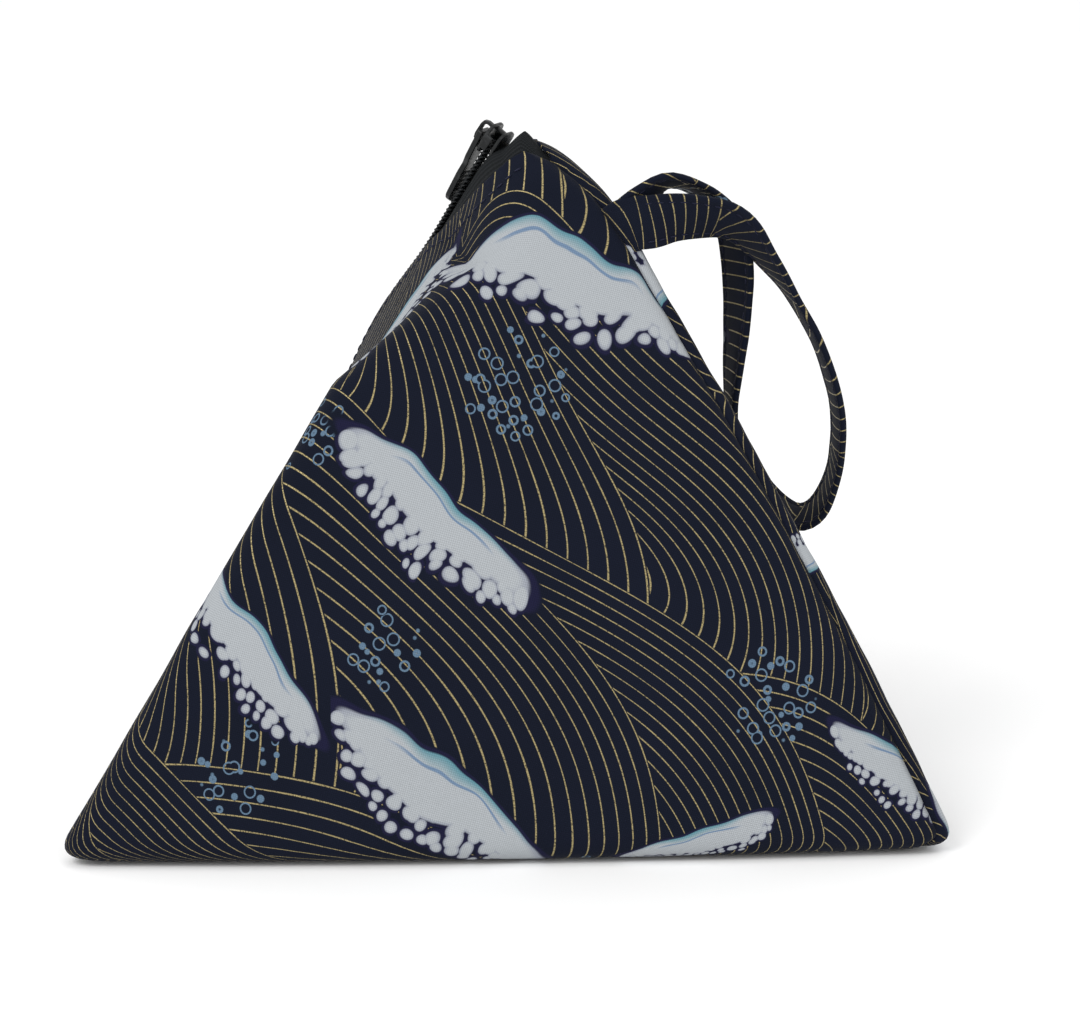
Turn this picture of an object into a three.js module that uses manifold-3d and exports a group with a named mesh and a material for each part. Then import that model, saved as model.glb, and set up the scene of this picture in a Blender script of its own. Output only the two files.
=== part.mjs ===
// A tetrahedral zipped pouch of quilt cotton with a wrist strap. Millimetres, +Z up.
// The bottom front edge lies along X, the front side faces -Y, and the pouch stands on Z = 0.
// The zipper climbs the hidden left-back side, from the middle of its bottom edge to the apex.
import * as THREE from 'three';
import { mergeVertices } from 'three/addons/utils/BufferGeometryUtils.js';
import Module from 'manifold-3d';

const wasm = await Module();
wasm.setup();

// The filled pouch: the points where its four sides would meet if their edges were sharp.
const frontEdge = 244.5;
const bagDepth = 206.5;
const backCornerShift = -6.8;
const apexHeight = 207;
const apexShift = 8.5;
const apexBack = 67.3;

// Softness: how far the sides swell, and how wide the rounding is along folds and seams.
const frontSwell = 5;
const sideSwell = 1.2;
const foldRound = 9;
const seamRound = 9;
const baseRound = 8;
const apexDrop = 18.9;
const apexRound = 29;
const seamShift = 6;
const panelDivisions = 12;
const edgeCrowding = 1.8;

// Layers of the wall, from outside to inside, and the clearance between touching pieces.
const clothThick = 0.6;
const paddingThick = 2;
const liningThick = 0.5;
const layGap = 0.3;

// The zipper side: its line rises as an arc, and it falls away to straight crease lines.
// Beyond them it lies nearly flat as far as its folds, and falls off towards the apex.
const zipperRise = 10.4;
const zipperSpan = 184;
const ridgeFlat = 4.2;
const ridgeRound = 1.5;
const ridgeSlope = 1.5;
const creaseFoot = 104;
const creaseTop = 178;
const shelfDrop = 1.6;
const shelfTop = 118;
const shelfFall = 0.3;
const shelfRound = 3;

// The mouth: the part of the zipper side that folds open, on each side of the zipper.
const mouthBottom = 10;
const mouthTop = 150;
const mouthGap = 0.4;
const flapUndercut = 0.45;
const mouthRows = 12;
const mouthColumns = 5;
const openingSkirt = 14;

// The zipper: coil, tapes, stop and stitching.
const clothEdge = 6.5;
const tapeTop = 197;
const tapeHalfWidth = 13;
const tapeInnerEdge = 1.3;
const tapeThick = 0.6;
const coilBottom = 14;
const coilPitch = 6;
const coilThick = 1.4;
const coilOuterEdge = 1.9;
const toothRoot = 0.6;
const toothReach = 0.3;
const toothFlat = 1.8;
const toothFlank = 0.3;
const stopLength = 2.5;
const stopWidth = 4.6;
const stitchInset = 3;
const threadWidth = 0.5;
const threadThick = 0.3;

// The slider and its pull tab.
const sliderBelowTop = 6;
const sliderLength = 9;
const sliderWidth = 7.6;
const sliderTail = 5.4;
const plateThick = 1;
const flangeThick = 0.8;
const flangeLength = 6;
const postWidth = 1.8;
const postLength = 1.6;
const postInset = 0.6;
const crownWidth = 1.6;
const crownBar = 0.9;
const crownRun = 5;
const crownHeight = 2.6;
const tabLength = 22;
const tabWidth = 5.6;
const tabThick = 1.6;
const tabSlotWidth = 2.6;
const tabSlotLength = 4.1;
const tabBar = 1.4;
const tabLift = 0.05;
const tabTilt = 6;

// The wrist strap, a folded strip whose two ends are caught in the front seam.
const strapWidth = 14.5;
const strapThick = 1.9;
const strapRoot = 0.243;
const strapDrop = 80;
const strapSteps = 60;
const strapColumns = 4;
const strapLift = 1.05;
const strapBead = 2.6;
const strapStitchInset = 2.2;
const strapStitchEnd = 0.05;
// Places along the strap, from its front end round the loop to its back end, as offsets from
// the root: right, back, up, and then the direction of the strap's upper edge there.
// The whole route is sized so that the loop hangs strapDrop below the root.
const strapRoute = [
  [0, -1.1, 0, -0.46, 0.27, 0.84],
  [6.5, -1.3, 0.6, -0.2, 0.1, 0.97],
  [13.5, -1.2, 1.4, 0, -0.05, 1],
  [20.5, -0.6, 1, 0.2, -0.25, 0.95],
  [26, 0.4, -1.8, 0.45, -0.6, 0.66],
  [31.4, 1.8, -8, 0.35, -0.9, 0.25],
  [39.2, 3.6, -19.5, 0.1, -1, 0.03],
  [46.8, 5.4, -34, 0, -1, 0],
  [51.6, 6.8, -50, 0, -1, 0],
  [52.4, 7.4, -63, 0, -1, 0],
  [49.4, 7.8, -74, 0.05, -1, 0.05],
  [43.4, 8.6, -80, 0.08, -1, 0.08],
  [35.6, 9.4, -77.5, 0.1, -1, 0.1],
  [28.8, 10.2, -68, 0.2, -1, 0.12],
  [25, 11.4, -54, 0.35, -1, 0.1],
  [24.4, 12.6, -37, 0.5, -0.9, 0.06],
  [24.4, 13.4, -20, 0.56, -0.83, 0.03],
  [23.4, 13.4, -8, 0.6, -0.76, 0.2],
  [19.6, 11.4, 0.4, 0.6, -0.5, 0.62],
  [14.4, 7, 4, 0.3, -0.15, 0.94],
  [7.8, 3.2, 4.4, -0.1, 0.1, 0.98],
  [3, 1.5, 1.8, -0.35, 0.2, 0.92],
  [0, 1.1, 0, -0.46, 0.27, 0.84],
];

const navyCotton = { color: 0x1b2040, roughness: 0.85, metalness: 0 };
const whiteFleece = { color: 0xe8e6df, roughness: 0.95, metalness: 0 };
const paleCotton = { color: 0xcdd6d8, roughness: 0.88, metalness: 0 };
const blackTape = { color: 0x191b1e, roughness: 0.8, metalness: 0 };
const blackNylon = { color: 0x141517, roughness: 0.45, metalness: 0 };
const navyThread = { color: 0x15182e, roughness: 0.7, metalness: 0 };
const blackEnamel = { color: 0x101113, roughness: 0.3, metalness: 0.6 };

const bag = new THREE.Group();

function addPiece(parent, name, geometry, finish) {
  const mesh = new THREE.Mesh(geometry, new THREE.MeshStandardMaterial(finish));
  mesh.name = name;
  parent.add(mesh);
  return mesh;
}

// Solids for cutting and joining.
function bareGeometry(geometry) {
  const bare = geometry.clone();
  bare.deleteAttribute('normal');
  bare.deleteAttribute('uv');
  return mergeVertices(bare, 1e-4);
}

function toSolid(geometry) {
  const bare = bareGeometry(geometry);
  const vertProperties = new Float32Array(bare.attributes.position.array);
  const triVerts = new Uint32Array(bare.index.array);
  return new wasm.Manifold(new wasm.Mesh({ numProp: 3, vertProperties, triVerts }));
}

function toGeometry(solid) {
  const mesh = solid.getMesh();
  const geometry = new THREE.BufferGeometry();
  const places = new Float32Array(mesh.vertProperties);
  geometry.setAttribute('position', new THREE.BufferAttribute(places, 3));
  geometry.setIndex(new THREE.BufferAttribute(new Uint32Array(mesh.triVerts), 1));
  geometry.computeVertexNormals();
  return geometry;
}

// Corners: front left, front right, back, apex.
const leftCorner = new THREE.Vector3(-frontEdge / 2, -bagDepth / 2, 0);
const rightCorner = new THREE.Vector3(frontEdge / 2, -bagDepth / 2, 0);
const backCorner = new THREE.Vector3(backCornerShift, bagDepth / 2, 0);
const apex = new THREE.Vector3(apexShift, apexBack - bagDepth / 2, apexHeight);
const corners = [leftCorner, rightCorner, backCorner, apex];
const cornerSum = corners.reduce((sum, corner) => sum.add(corner), new THREE.Vector3());
const centre = cornerSum.divideScalar(corners.length);

function outwardNormal(a, b, c) {
  const normal = b.clone().sub(a).cross(c.clone().sub(a)).normalize();
  return normal.dot(a.clone().sub(centre)) < 0 ? normal.negate() : normal;
}

// The zipper side's own axes: across it towards the front, up along the zipper, and outwards.
const zipperFoot = leftCorner.clone().add(backCorner).divideScalar(2);
const zipperUp = apex.clone().sub(zipperFoot).normalize();
const zipperOut = outwardNormal(leftCorner, backCorner, apex);
const zipperAcross = zipperUp.clone().cross(zipperOut);
const zipperFrame = new THREE.Matrix4().makeBasis(zipperAcross, zipperUp, zipperOut);
zipperFrame.setPosition(zipperFoot);
const arcRadius = (zipperSpan * zipperSpan / 4 + zipperRise * zipperRise) / (2 * zipperRise);

function zipperHeight(up) {
  const along = Math.max(up, 0) - zipperSpan / 2;
  return Math.sqrt(arcRadius * arcRadius - along * along) - (arcRadius - zipperRise);
}

function creaseAcross(up) {
  return creaseFoot * (1 - up / creaseTop);
}

function awayFromRidge(across) {
  const beyond = Math.max(across - ridgeFlat, 0);
  return Math.sqrt(beyond * beyond + ridgeRound * ridgeRound) - ridgeRound;
}

function sideSlope(up) {
  const fall = awayFromRidge(creaseAcross(up));
  return fall > 0 ? Math.min(zipperHeight(up) / fall, ridgeSlope) : ridgeSlope;
}

function zipperSurface(across, up) {
  const ridge = zipperHeight(up) - sideSlope(up) * awayFromRidge(Math.abs(across));
  const shelf = -shelfDrop - shelfFall * Math.max(up - shelfTop, 0);
  return softMax(ridge, shelf, shelfRound);
}

// Signed distances to the sides, and the rounded solid that they bound.
function swollenSide(a, b, c, swell) {
  const normal = outwardNormal(a, b, c);
  const middle = a.clone().add(b).add(c).divideScalar(3);
  const reach = (middle.distanceTo(a) + middle.distanceTo(b) + middle.distanceTo(c)) / 3;
  const radius = reach * reach / (2 * swell);
  const ball = middle.clone().addScaledVector(normal, swell - radius);
  return (point) => point.distanceTo(ball) - radius;
}

function softMax(a, b, round) {
  const overlap = Math.max(round - Math.abs(a - b), 0);
  return Math.max(a, b) + overlap * overlap / (4 * round);
}

const frontSide = swollenSide(leftCorner, rightCorner, apex, frontSwell);
const rightSide = swollenSide(rightCorner, backCorner, apex, sideSwell);
const apexAxis = apex.clone().sub(centre).normalize();
const apexLimit = apex.distanceTo(centre) - apexDrop;

function bagLevel(point) {
  const local = point.clone().sub(zipperFoot);
  const up = local.dot(zipperUp);
  const slope = sideSlope(up);
  const rise = zipperSurface(local.dot(zipperAcross), up);
  const zipperSide = (local.dot(zipperOut) - rise) / Math.sqrt(1 + slope * slope);
  const top = point.clone().sub(centre).dot(apexAxis) - apexLimit;
  const round = softMax(softMax(frontSide(point), rightSide(point), seamRound), top, apexRound);
  return softMax(softMax(round, zipperSide, foldRound), -point.z, baseRound);
}

// The point at the given depth below the surface, on the line from the centre through a target.
function wallPoint(target, depth) {
  const ray = target.clone().sub(centre);
  let inner = 0;
  let outer = 1.3;
  for (let i = 0; i < 40; i += 1) {
    const middle = (inner + outer) / 2;
    if (bagLevel(centre.clone().addScaledVector(ray, middle)) > -depth) {
      outer = middle;
    } else {
      inner = middle;
    }
  }
  return centre.clone().addScaledVector(ray, inner);
}

// The whole filled shape at one depth, from a grid on each side that is finer near the edges.
function bagBody(depth) {
  const sides = [
    [leftCorner, rightCorner, apex],
    [rightCorner, backCorner, apex],
    [backCorner, leftCorner, apex],
    [leftCorner, backCorner, rightCorner],
  ];
  const positions = [];
  for (const [a, b, c] of sides) {
    const gridPoint = (i, j) => {
      const shares = [i, j, panelDivisions - i - j].map((k) => (k / panelDivisions) ** edgeCrowding);
      const total = shares[0] + shares[1] + shares[2];
      const target = a.clone().multiplyScalar(shares[0] / total);
      target.addScaledVector(b, shares[1] / total).addScaledVector(c, shares[2] / total);
      return wallPoint(target, depth);
    };
    for (let i = 0; i < panelDivisions; i += 1) {
      for (let j = 0; j < panelDivisions - i; j += 1) {
        const corner = gridPoint(i, j);
        const nextA = gridPoint(i + 1, j);
        const nextB = gridPoint(i, j + 1);
        positions.push(...corner.toArray(), ...nextA.toArray(), ...nextB.toArray());
        if (j < panelDivisions - i - 1) {
          positions.push(...nextA.toArray(), ...gridPoint(i + 1, j + 1).toArray(), ...nextB.toArray());
        }
      }
    }
  }
  const geometry = new THREE.BufferGeometry();
  geometry.setAttribute('position', new THREE.Float32BufferAttribute(positions, 3));
  return mergeVertices(geometry, 1e-3);
}

// A slab that follows the zipper side. Each row has a place up the zipper and its two edges.
function zipperSlab(rows, columns, depthLow, depthHigh) {
  const positions = [];
  const index = [];
  const wide = columns + 1;
  const lower = rows.length * wide;
  for (const depth of [depthHigh, depthLow]) {
    for (const row of rows) {
      for (let i = 0; i < wide; i += 1) {
        const across = row.from + (row.to - row.from) * i / columns;
        positions.push(across, row.up, zipperSurface(across, row.up) + depth);
      }
    }
  }
  const cell = (a, b, c, d) => index.push(a, b, c, a, c, d);
  for (let j = 0; j < rows.length - 1; j += 1) {
    for (let i = 0; i < columns; i += 1) {
      const a = j * wide + i;
      cell(a, a + 1, a + wide + 1, a + wide);
      index.push(lower + a, lower + a + wide + 1, lower + a + 1);
      index.push(lower + a, lower + a + wide, lower + a + wide + 1);
    }
    const left = j * wide;
    const right = left + columns;
    cell(left, left + wide, lower + left + wide, lower + left);
    cell(right, lower + right, lower + right + wide, right + wide);
  }
  for (let i = 0; i < columns; i += 1) {
    const last = lower - wide + i;
    cell(i, lower + i, lower + i + 1, i + 1);
    cell(last, last + 1, lower + last + 1, lower + last);
  }
  const geometry = new THREE.BufferGeometry();
  geometry.setAttribute('position', new THREE.Float32BufferAttribute(positions, 3));
  geometry.setIndex(index);
  geometry.computeVertexNormals();
  return geometry;
}

function evenRows(from, to, count, edges) {
  return Array.from({ length: count + 1 }, (_, i) => {
    const up = from + (to - from) * i / count;
    const [low, high] = edges(up);
    return { up, from: low, to: high };
  });
}

// The same slab on the back half of the zipper side.
function mirrored(rows) {
  return rows.map((row) => ({ up: row.up, from: -row.to, to: -row.from }));
}

// Openings in the wall layers: the mouth, and the strip that the zipper shows through.
function wallOpening(stripHalfWidth) {
  const mouthEdges = (up) => [-creaseAcross(up) - mouthGap, creaseAcross(up) + mouthGap];
  const mouth = evenRows(mouthBottom - mouthGap, mouthTop + mouthGap, mouthRows, mouthEdges);
  const strip = evenRows(mouthTop, apexHeight * 1.2, mouthRows, () => [-stripHalfWidth, stripHalfWidth]);
  const cut = toSolid(zipperSlab(mouth, 2 * mouthColumns, -openingSkirt, openingSkirt));
  const cutStrip = toSolid(zipperSlab(strip, 4, -openingSkirt, openingSkirt));
  return cut.add(cutStrip).transform(zipperFrame.elements);
}

// The front and back halves of the wall part on a plane through the seams.
const seamDirection = rightCorner.clone().sub(apex).normalize();
const seamInward = outwardNormal(leftCorner, rightCorner, apex).cross(seamDirection);
if (seamInward.dot(leftCorner.clone().sub(apex)) < 0) {
  seamInward.negate();
}
const seamTop = apex.clone().addScaledVector(seamInward, seamShift);
const seamEnd = rightCorner.clone().addScaledVector(seamInward, seamShift);

function halfSpace(towards) {
  const reach = 3 * frontEdge;
  const normal = seamTop.clone().sub(zipperFoot).cross(seamEnd.clone().sub(zipperFoot)).normalize();
  if (normal.dot(towards.clone().sub(zipperFoot)) < 0) {
    normal.negate();
  }
  const block = new THREE.BoxGeometry(reach, reach, reach);
  const turn = new THREE.Quaternion().setFromUnitVectors(new THREE.Vector3(0, 0, 1), normal);
  block.applyQuaternion(turn);
  const offset = zipperFoot.clone().addScaledVector(normal, (reach + layGap) / 2);
  return toSolid(block.translate(offset.x, offset.y, offset.z));
}

const zipper = new THREE.Group();
zipper.applyMatrix4(zipperFrame);
bag.add(zipper);

const frontHalf = halfSpace(leftCorner);
const backHalf = halfSpace(backCorner);
const halves = { front: frontHalf, back: backHalf };

// Each wall layer has a front and a back panel, and a mouth flap on each side of the zipper.
// A flap's lower end is set back with its depth, so that it turns clear of the wall below it.
function wallLayer(name, depth, thick, edge, finish) {
  const shell = toSolid(bagBody(depth)).subtract(toSolid(bagBody(depth + thick)));
  const opened = shell.subtract(wallOpening(edge));
  const flapEdges = (up) => [edge, creaseAcross(up)];
  const flapBottom = mouthBottom + flapUndercut * (depth + thick);
  const rows = evenRows(flapBottom, mouthTop, mouthRows, flapEdges);
  for (const [side, half] of Object.entries(halves)) {
    addPiece(bag, `${name}_${side}`, toGeometry(opened.intersect(half)), finish);
    const flapRows = side === 'front' ? rows : mirrored(rows);
    const flap = zipperSlab(flapRows, mouthColumns, -depth - thick, -depth);
    addPiece(zipper, `${name}_flap_${side}`, flap, finish);
  }
}

const paddingDepth = clothThick + layGap;
const liningDepth = paddingDepth + paddingThick + layGap;
const paddingEdge = tapeHalfWidth + layGap;
wallLayer('outer_cloth', 0, clothThick, clothEdge, navyCotton);
wallLayer('padding', paddingDepth, paddingThick, paddingEdge, whiteFleece);
wallLayer('lining', liningDepth, liningThick, clothEdge, paleCotton);

// Zipper tapes, toothed coils and topstitching, a front and a back one of each.
const tapeDepth = clothThick + layGap;
const coilFloor = layGap - tapeDepth;
const sliderUp = tapeTop - sliderBelowTop;
const postStart = sliderUp + sliderLength / 2 - postLength - postInset;

// Above the mouth the tapes narrow to the strip that shows between the cloth edges.
function tapeRows() {
  const lower = evenRows(mouthBottom, mouthTop - layGap, 16, () => [tapeInnerEdge, tapeHalfWidth]);
  const upper = evenRows(mouthTop, tapeTop, 6, () => [tapeInnerEdge, clothEdge - mouthGap]);
  return [...lower, ...upper];
}

function coilRows(phase) {
  const rows = [];
  const teeth = Math.floor((postStart - layGap - coilBottom) / coilPitch - 0.5);
  for (let k = 0; k < teeth; k += 1) {
    const start = coilBottom + coilPitch * (k + phase);
    const end = start + toothFlat + 2 * toothFlank;
    rows.push({ up: start, from: toothRoot, to: coilOuterEdge });
    rows.push({ up: start + toothFlank, from: -toothReach, to: coilOuterEdge });
    rows.push({ up: end - toothFlank, from: -toothReach, to: coilOuterEdge });
    rows.push({ up: end, from: toothRoot, to: coilOuterEdge });
  }
  return rows;
}

function stitchRows() {
  const line = clothEdge + stitchInset;
  const edges = () => [line, line + threadWidth];
  return evenRows(mouthBottom + stitchInset, mouthTop - stitchInset, 16, edges);
}

for (const side of ['front', 'back']) {
  const place = side === 'front' ? (rows) => rows : mirrored;
  const phase = side === 'front' ? 0 : 0.5;
  const tape = zipperSlab(place(tapeRows()), 2, -tapeDepth - tapeThick, -tapeDepth);
  const coil = zipperSlab(place(coilRows(phase)), 1, coilFloor, coilFloor + coilThick);
  const topstitch = zipperSlab(place(stitchRows()), 1, layGap, layGap + threadThick);
  addPiece(zipper, `zipper_tape_${side}`, tape, blackTape);
  addPiece(zipper, `zipper_coil_${side}`, coil, blackNylon);
  addPiece(zipper, `topstitch_${side}`, topstitch, navyThread);
}

const stopUp = coilBottom - layGap - stopLength;
const stopRows = evenRows(stopUp, stopUp + stopLength, 1, () => [-stopWidth / 2, stopWidth / 2]);
addPiece(zipper, 'bottom_stop', zipperSlab(stopRows, 2, coilFloor, coilFloor + coilThick), blackEnamel);

// The slider stands on the arc of the zipper, turned to its slope there.
const slider = new THREE.Group();
slider.position.set(0, sliderUp, zipperHeight(sliderUp));
slider.rotation.x = -Math.asin((sliderUp - zipperSpan / 2) / arcRadius);
zipper.add(slider);

function boxAt(width, length, height, across, up, low) {
  return new THREE.BoxGeometry(width, length, height).translate(across, up, low + height / 2);
}

// A slider plate in plan: rounded shoulders at the top, a narrower tail.
function sliderPlate(low) {
  const plan = new THREE.Shape();
  const shoulder = sliderWidth / 2;
  const tail = sliderTail / 2;
  const top = sliderLength / 2;
  const turn = shoulder / 2;
  plan.moveTo(-tail, -top);
  plan.lineTo(tail, -top);
  plan.lineTo(shoulder, 0);
  plan.lineTo(shoulder, top - turn);
  plan.absarc(shoulder - turn, top - turn, turn, 0, Math.PI / 2);
  plan.lineTo(turn - shoulder, top);
  plan.absarc(turn - shoulder, top - turn, turn, Math.PI / 2, Math.PI);
  plan.lineTo(-shoulder, 0);
  const solid = { depth: plateThick, bevelEnabled: false, curveSegments: 6 };
  return new THREE.ExtrudeGeometry(plan, solid).translate(0, 0, low);
}

const topPlateLow = coilFloor + coilThick + layGap;
const topPlateHigh = topPlateLow + plateThick;
const bottomPlateHigh = -tapeDepth - tapeThick - layGap;
const flangeLow = layGap - tapeDepth;

function sliderBody() {
  const postUp = postStart + postLength / 2 - sliderUp;
  const postLow = bottomPlateHigh - plateThick / 2;
  const post = boxAt(postWidth, postLength, topPlateHigh - bottomPlateHigh, 0, postUp, postLow);
  const topPlate = toSolid(sliderPlate(topPlateLow));
  const bottomPlate = toSolid(sliderPlate(bottomPlateHigh - plateThick));
  let body = topPlate.add(bottomPlate).add(toSolid(post));
  const flangeRun = flangeLength - sliderWidth / 4;
  const flangeHeight = topPlateLow - flangeLow + plateThick / 2;
  const flangeUp = (sliderLength - flangeLength) / 2 - sliderWidth / 4;
  for (const side of [-1, 1]) {
    const across = side * (sliderWidth - flangeThick) / 2;
    const flange = boxAt(flangeThick, flangeRun, flangeHeight, across, flangeUp, flangeLow);
    body = body.add(toSolid(flange));
  }
  return toGeometry(body);
}

addPiece(slider, 'slider_body', sliderBody(), blackEnamel);

// The crown is an arch over the top plate, and the tab's cross bar turns inside it.
function sliderCrown() {
  const half = crownRun / 2;
  const low = topPlateHigh + layGap;
  const outline = new THREE.Shape();
  outline.moveTo(-half - crownBar, low);
  outline.lineTo(-half, low);
  outline.lineTo(-half, low + crownHeight);
  outline.lineTo(half, low + crownHeight);
  outline.lineTo(half, low);
  outline.lineTo(half + crownBar, low);
  outline.lineTo(half + crownBar, low + crownHeight);
  outline.lineTo(half, low + crownHeight + crownBar);
  outline.lineTo(-half, low + crownHeight + crownBar);
  outline.lineTo(-half - crownBar, low + crownHeight);
  const arch = new THREE.ExtrudeGeometry(outline, { depth: crownWidth, bevelEnabled: false });
  // The outline is drawn as (up, out), so it is turned to stand along the zipper.
  const turned = new THREE.Matrix4().makeBasis(
    new THREE.Vector3(0, 1, 0),
    new THREE.Vector3(0, 0, 1),
    new THREE.Vector3(1, 0, 0),
  );
  return arch.applyMatrix4(turned).translate(-crownWidth / 2, 0, 0);
}

addPiece(slider, 'slider_crown', sliderCrown(), blackEnamel);

// The pull tab hangs down the zipper from its cross bar, tilted in until it almost touches.
const tabPivotHeight = topPlateHigh + layGap + crownHeight / 2 + tabLift;

function pullTab() {
  const plan = new THREE.Shape();
  const half = tabWidth / 2;
  const bar = tabBar / 2;
  plan.moveTo(-half, bar);
  plan.lineTo(-half, half - tabLength);
  plan.absarc(0, half - tabLength, half, Math.PI, 2 * Math.PI);
  plan.lineTo(half, bar);
  const slot = new THREE.Path();
  slot.moveTo(-tabSlotWidth / 2, -bar);
  slot.lineTo(tabSlotWidth / 2, -bar);
  slot.lineTo(tabSlotWidth / 2, -bar - tabSlotLength);
  slot.lineTo(-tabSlotWidth / 2, -bar - tabSlotLength);
  plan.holes.push(slot);
  const solid = { depth: tabThick, bevelEnabled: false, curveSegments: 12 };
  return new THREE.ExtrudeGeometry(plan, solid).translate(0, 0, -tabThick / 2);
}

const tab = addPiece(slider, 'pull_tab', pullTab(), blackEnamel);
tab.position.set(0, 0, tabPivotHeight);
tab.rotation.x = THREE.MathUtils.degToRad(tabTilt);

// The strap's root stands just off the seam, on a bead about which the loop swings.
const seamOut = outwardNormal(leftCorner, rightCorner, apex);
seamOut.add(outwardNormal(rightCorner, backCorner, apex)).normalize();
const rootTarget = apex.clone().lerp(rightCorner, strapRoot);
const rootPoint = wallPoint(rootTarget, 0).addScaledVector(seamOut, strapBead + strapLift);

const routeDrop = -Math.min(...strapRoute.map((place) => place[2]));
const strapSize = strapDrop / routeDrop;
const strapPlaces = strapRoute.map(([right, back, up]) => {
  const offset = new THREE.Vector3(right, back, up).multiplyScalar(strapSize);
  return offset.add(rootPoint);
});
const strapPath = new THREE.CatmullRomCurve3(strapPlaces, false, 'centripetal');
const strapTurns = strapRoute.map((place) => new THREE.Vector3(...place.slice(3)));
const strapEdge = new THREE.CatmullRomCurve3(strapTurns, false);

// A band along the strap, between two places across it and two heights over its middle.
function strapBand(acrossLow, acrossHigh, heightLow, heightHigh, start, end, columns) {
  const geometry = new THREE.BoxGeometry(1, 1, 1, columns, strapSteps, 1);
  const position = geometry.attributes.position;
  for (let i = 0; i < position.count; i += 1) {
    const share = start + (end - start) * (position.getY(i) + 0.5);
    const point = strapPath.getPoint(share);
    const along = strapPath.getTangent(share);
    const edge = strapEdge.getPoint(share);
    edge.addScaledVector(along, -edge.dot(along)).normalize();
    const face = edge.clone().cross(along);
    point.addScaledVector(edge, acrossLow + (acrossHigh - acrossLow) * (position.getX(i) + 0.5));
    point.addScaledVector(face, position.getZ(i) > 0 ? heightHigh : heightLow);
    position.setXYZ(i, point.x, point.y, point.z);
  }
  return bareGeometry(geometry);
}

function strapLoop() {
  const half = strapWidth / 2;
  const band = toSolid(strapBand(-half, half, -strapThick / 2, strapThick / 2, 0, 1, strapColumns));
  const bead = new THREE.CylinderGeometry(strapBead, strapBead, strapWidth, 16);
  const turn = new THREE.Quaternion().setFromUnitVectors(new THREE.Vector3(0, 1, 0), seamDirection);
  bead.applyQuaternion(turn);
  bead.translate(rootPoint.x, rootPoint.y, rootPoint.z);
  return toGeometry(band.add(toSolid(bead)));
}

addPiece(bag, 'wrist_strap', strapLoop(), navyCotton);

const stitchMiddle = strapWidth / 2 - strapStitchInset;
const stitchLow = strapThick / 2 + layGap;
const stitchHigh = stitchLow + threadThick;
const stitchEnd = 1 - strapStitchEnd;
for (const [name, side] of [['strap_stitch_upper', 1], ['strap_stitch_lower', -1]]) {
  const low = side * stitchMiddle - threadWidth / 2;
  const row = strapBand(low, low + threadWidth, -stitchHigh, -stitchLow, strapStitchEnd, stitchEnd, 1);
  addPiece(bag, name, row, navyThread);
}

export default bag;
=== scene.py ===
import math

import bmesh
import bpy
import numpy as np
from mathutils import Matrix, Vector, noise


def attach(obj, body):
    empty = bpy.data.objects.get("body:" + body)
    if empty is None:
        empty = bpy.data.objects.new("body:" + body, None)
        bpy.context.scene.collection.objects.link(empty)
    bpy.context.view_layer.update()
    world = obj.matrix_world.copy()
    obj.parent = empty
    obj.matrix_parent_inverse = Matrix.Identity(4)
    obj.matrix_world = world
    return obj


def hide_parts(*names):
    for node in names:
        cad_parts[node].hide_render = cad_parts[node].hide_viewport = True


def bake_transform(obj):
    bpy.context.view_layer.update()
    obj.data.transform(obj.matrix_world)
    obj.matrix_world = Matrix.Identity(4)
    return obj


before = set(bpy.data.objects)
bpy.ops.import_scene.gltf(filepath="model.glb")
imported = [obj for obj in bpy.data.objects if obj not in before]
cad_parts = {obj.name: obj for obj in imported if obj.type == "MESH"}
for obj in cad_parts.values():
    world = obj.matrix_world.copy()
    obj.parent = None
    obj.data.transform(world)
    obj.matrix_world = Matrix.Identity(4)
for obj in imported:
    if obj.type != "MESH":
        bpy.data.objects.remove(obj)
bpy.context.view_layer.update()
mm = 0.001
print("frame loaded")

# the filled pouch, in millimetres: where its four sides would meet, and how soft it is
bagForm = {
    "frontEdge": 244.5, "bagDepth": 206.5, "backCornerShift": -6.8,
    "apexHeight": 207, "apexShift": 8.5, "apexBack": 67.3,
    "frontSwell": 5, "sideSwell": 1.2,
    "foldRound": 9, "seamRound": 9, "baseRound": 8,
    "apexDrop": 18.9, "apexRound": 29, "seamShift": 6, "seamShiftTop": 8,
    "flatWidth": 228, "flatLength": 205,  # each half panel as it was cut
    "backShift": (-126, -68),  # the back half is cut from another place on the print
}

# the zipper side: an arched ridge that falls away to two straight creases
zipForm = {
    "rise": 10.4, "span": 184, "ridgeFlat": 4.2, "ridgeRound": 1.5, "ridgeSlope": 1.5,
    "creaseFoot": 104, "creaseTop": 178,
    "shelfDrop": 1.6, "shelfTop": 128, "shelfFall": 0.4, "shelfRound": 3,
    "bulge": 4.3, "bulgeUp": 110, "bulgeReach": 38,
    "mouthBottom": 10, "mouthTop": 150, "mouthSplit": 74, "openFrom": 32,
    "clothEdge": 6.5, "sliderUp": 191,
    "turnUp": 184, "turnClimb": 0.38,  # where the way along the zipper turns over the top
    # the folded edges over the top: way along the zipper, middle, half the space between them
    "edgePath": [
        (144, 0, 6.5), (152, 0.1, 6.7), (160, 0.3, 7.0), (168, 0.5, 7.4), (176, 0.9, 8.0),
        (184, 1.4, 8.4), (190, 1.8, 8.4), (195, 2.1, 7.9), (199, 2.3, 7.0), (203, 2.6, 5.5),
        (206, 2.8, 4.2), (210, 3.0, 2.7), (213, 3.1, 1.2), (215.5, 3.2, 0),
    ],
}

# how the surface is searched: along rays from the middle, and outwards over the zipper
search = {
    "rayReach": 1.35, "rayRounds": 36, "zipLow": -25.0, "zipHigh": 20.0, "zipRounds": 30,
    "wallRounds": 14, "slopeStep": 0.2,
}


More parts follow.
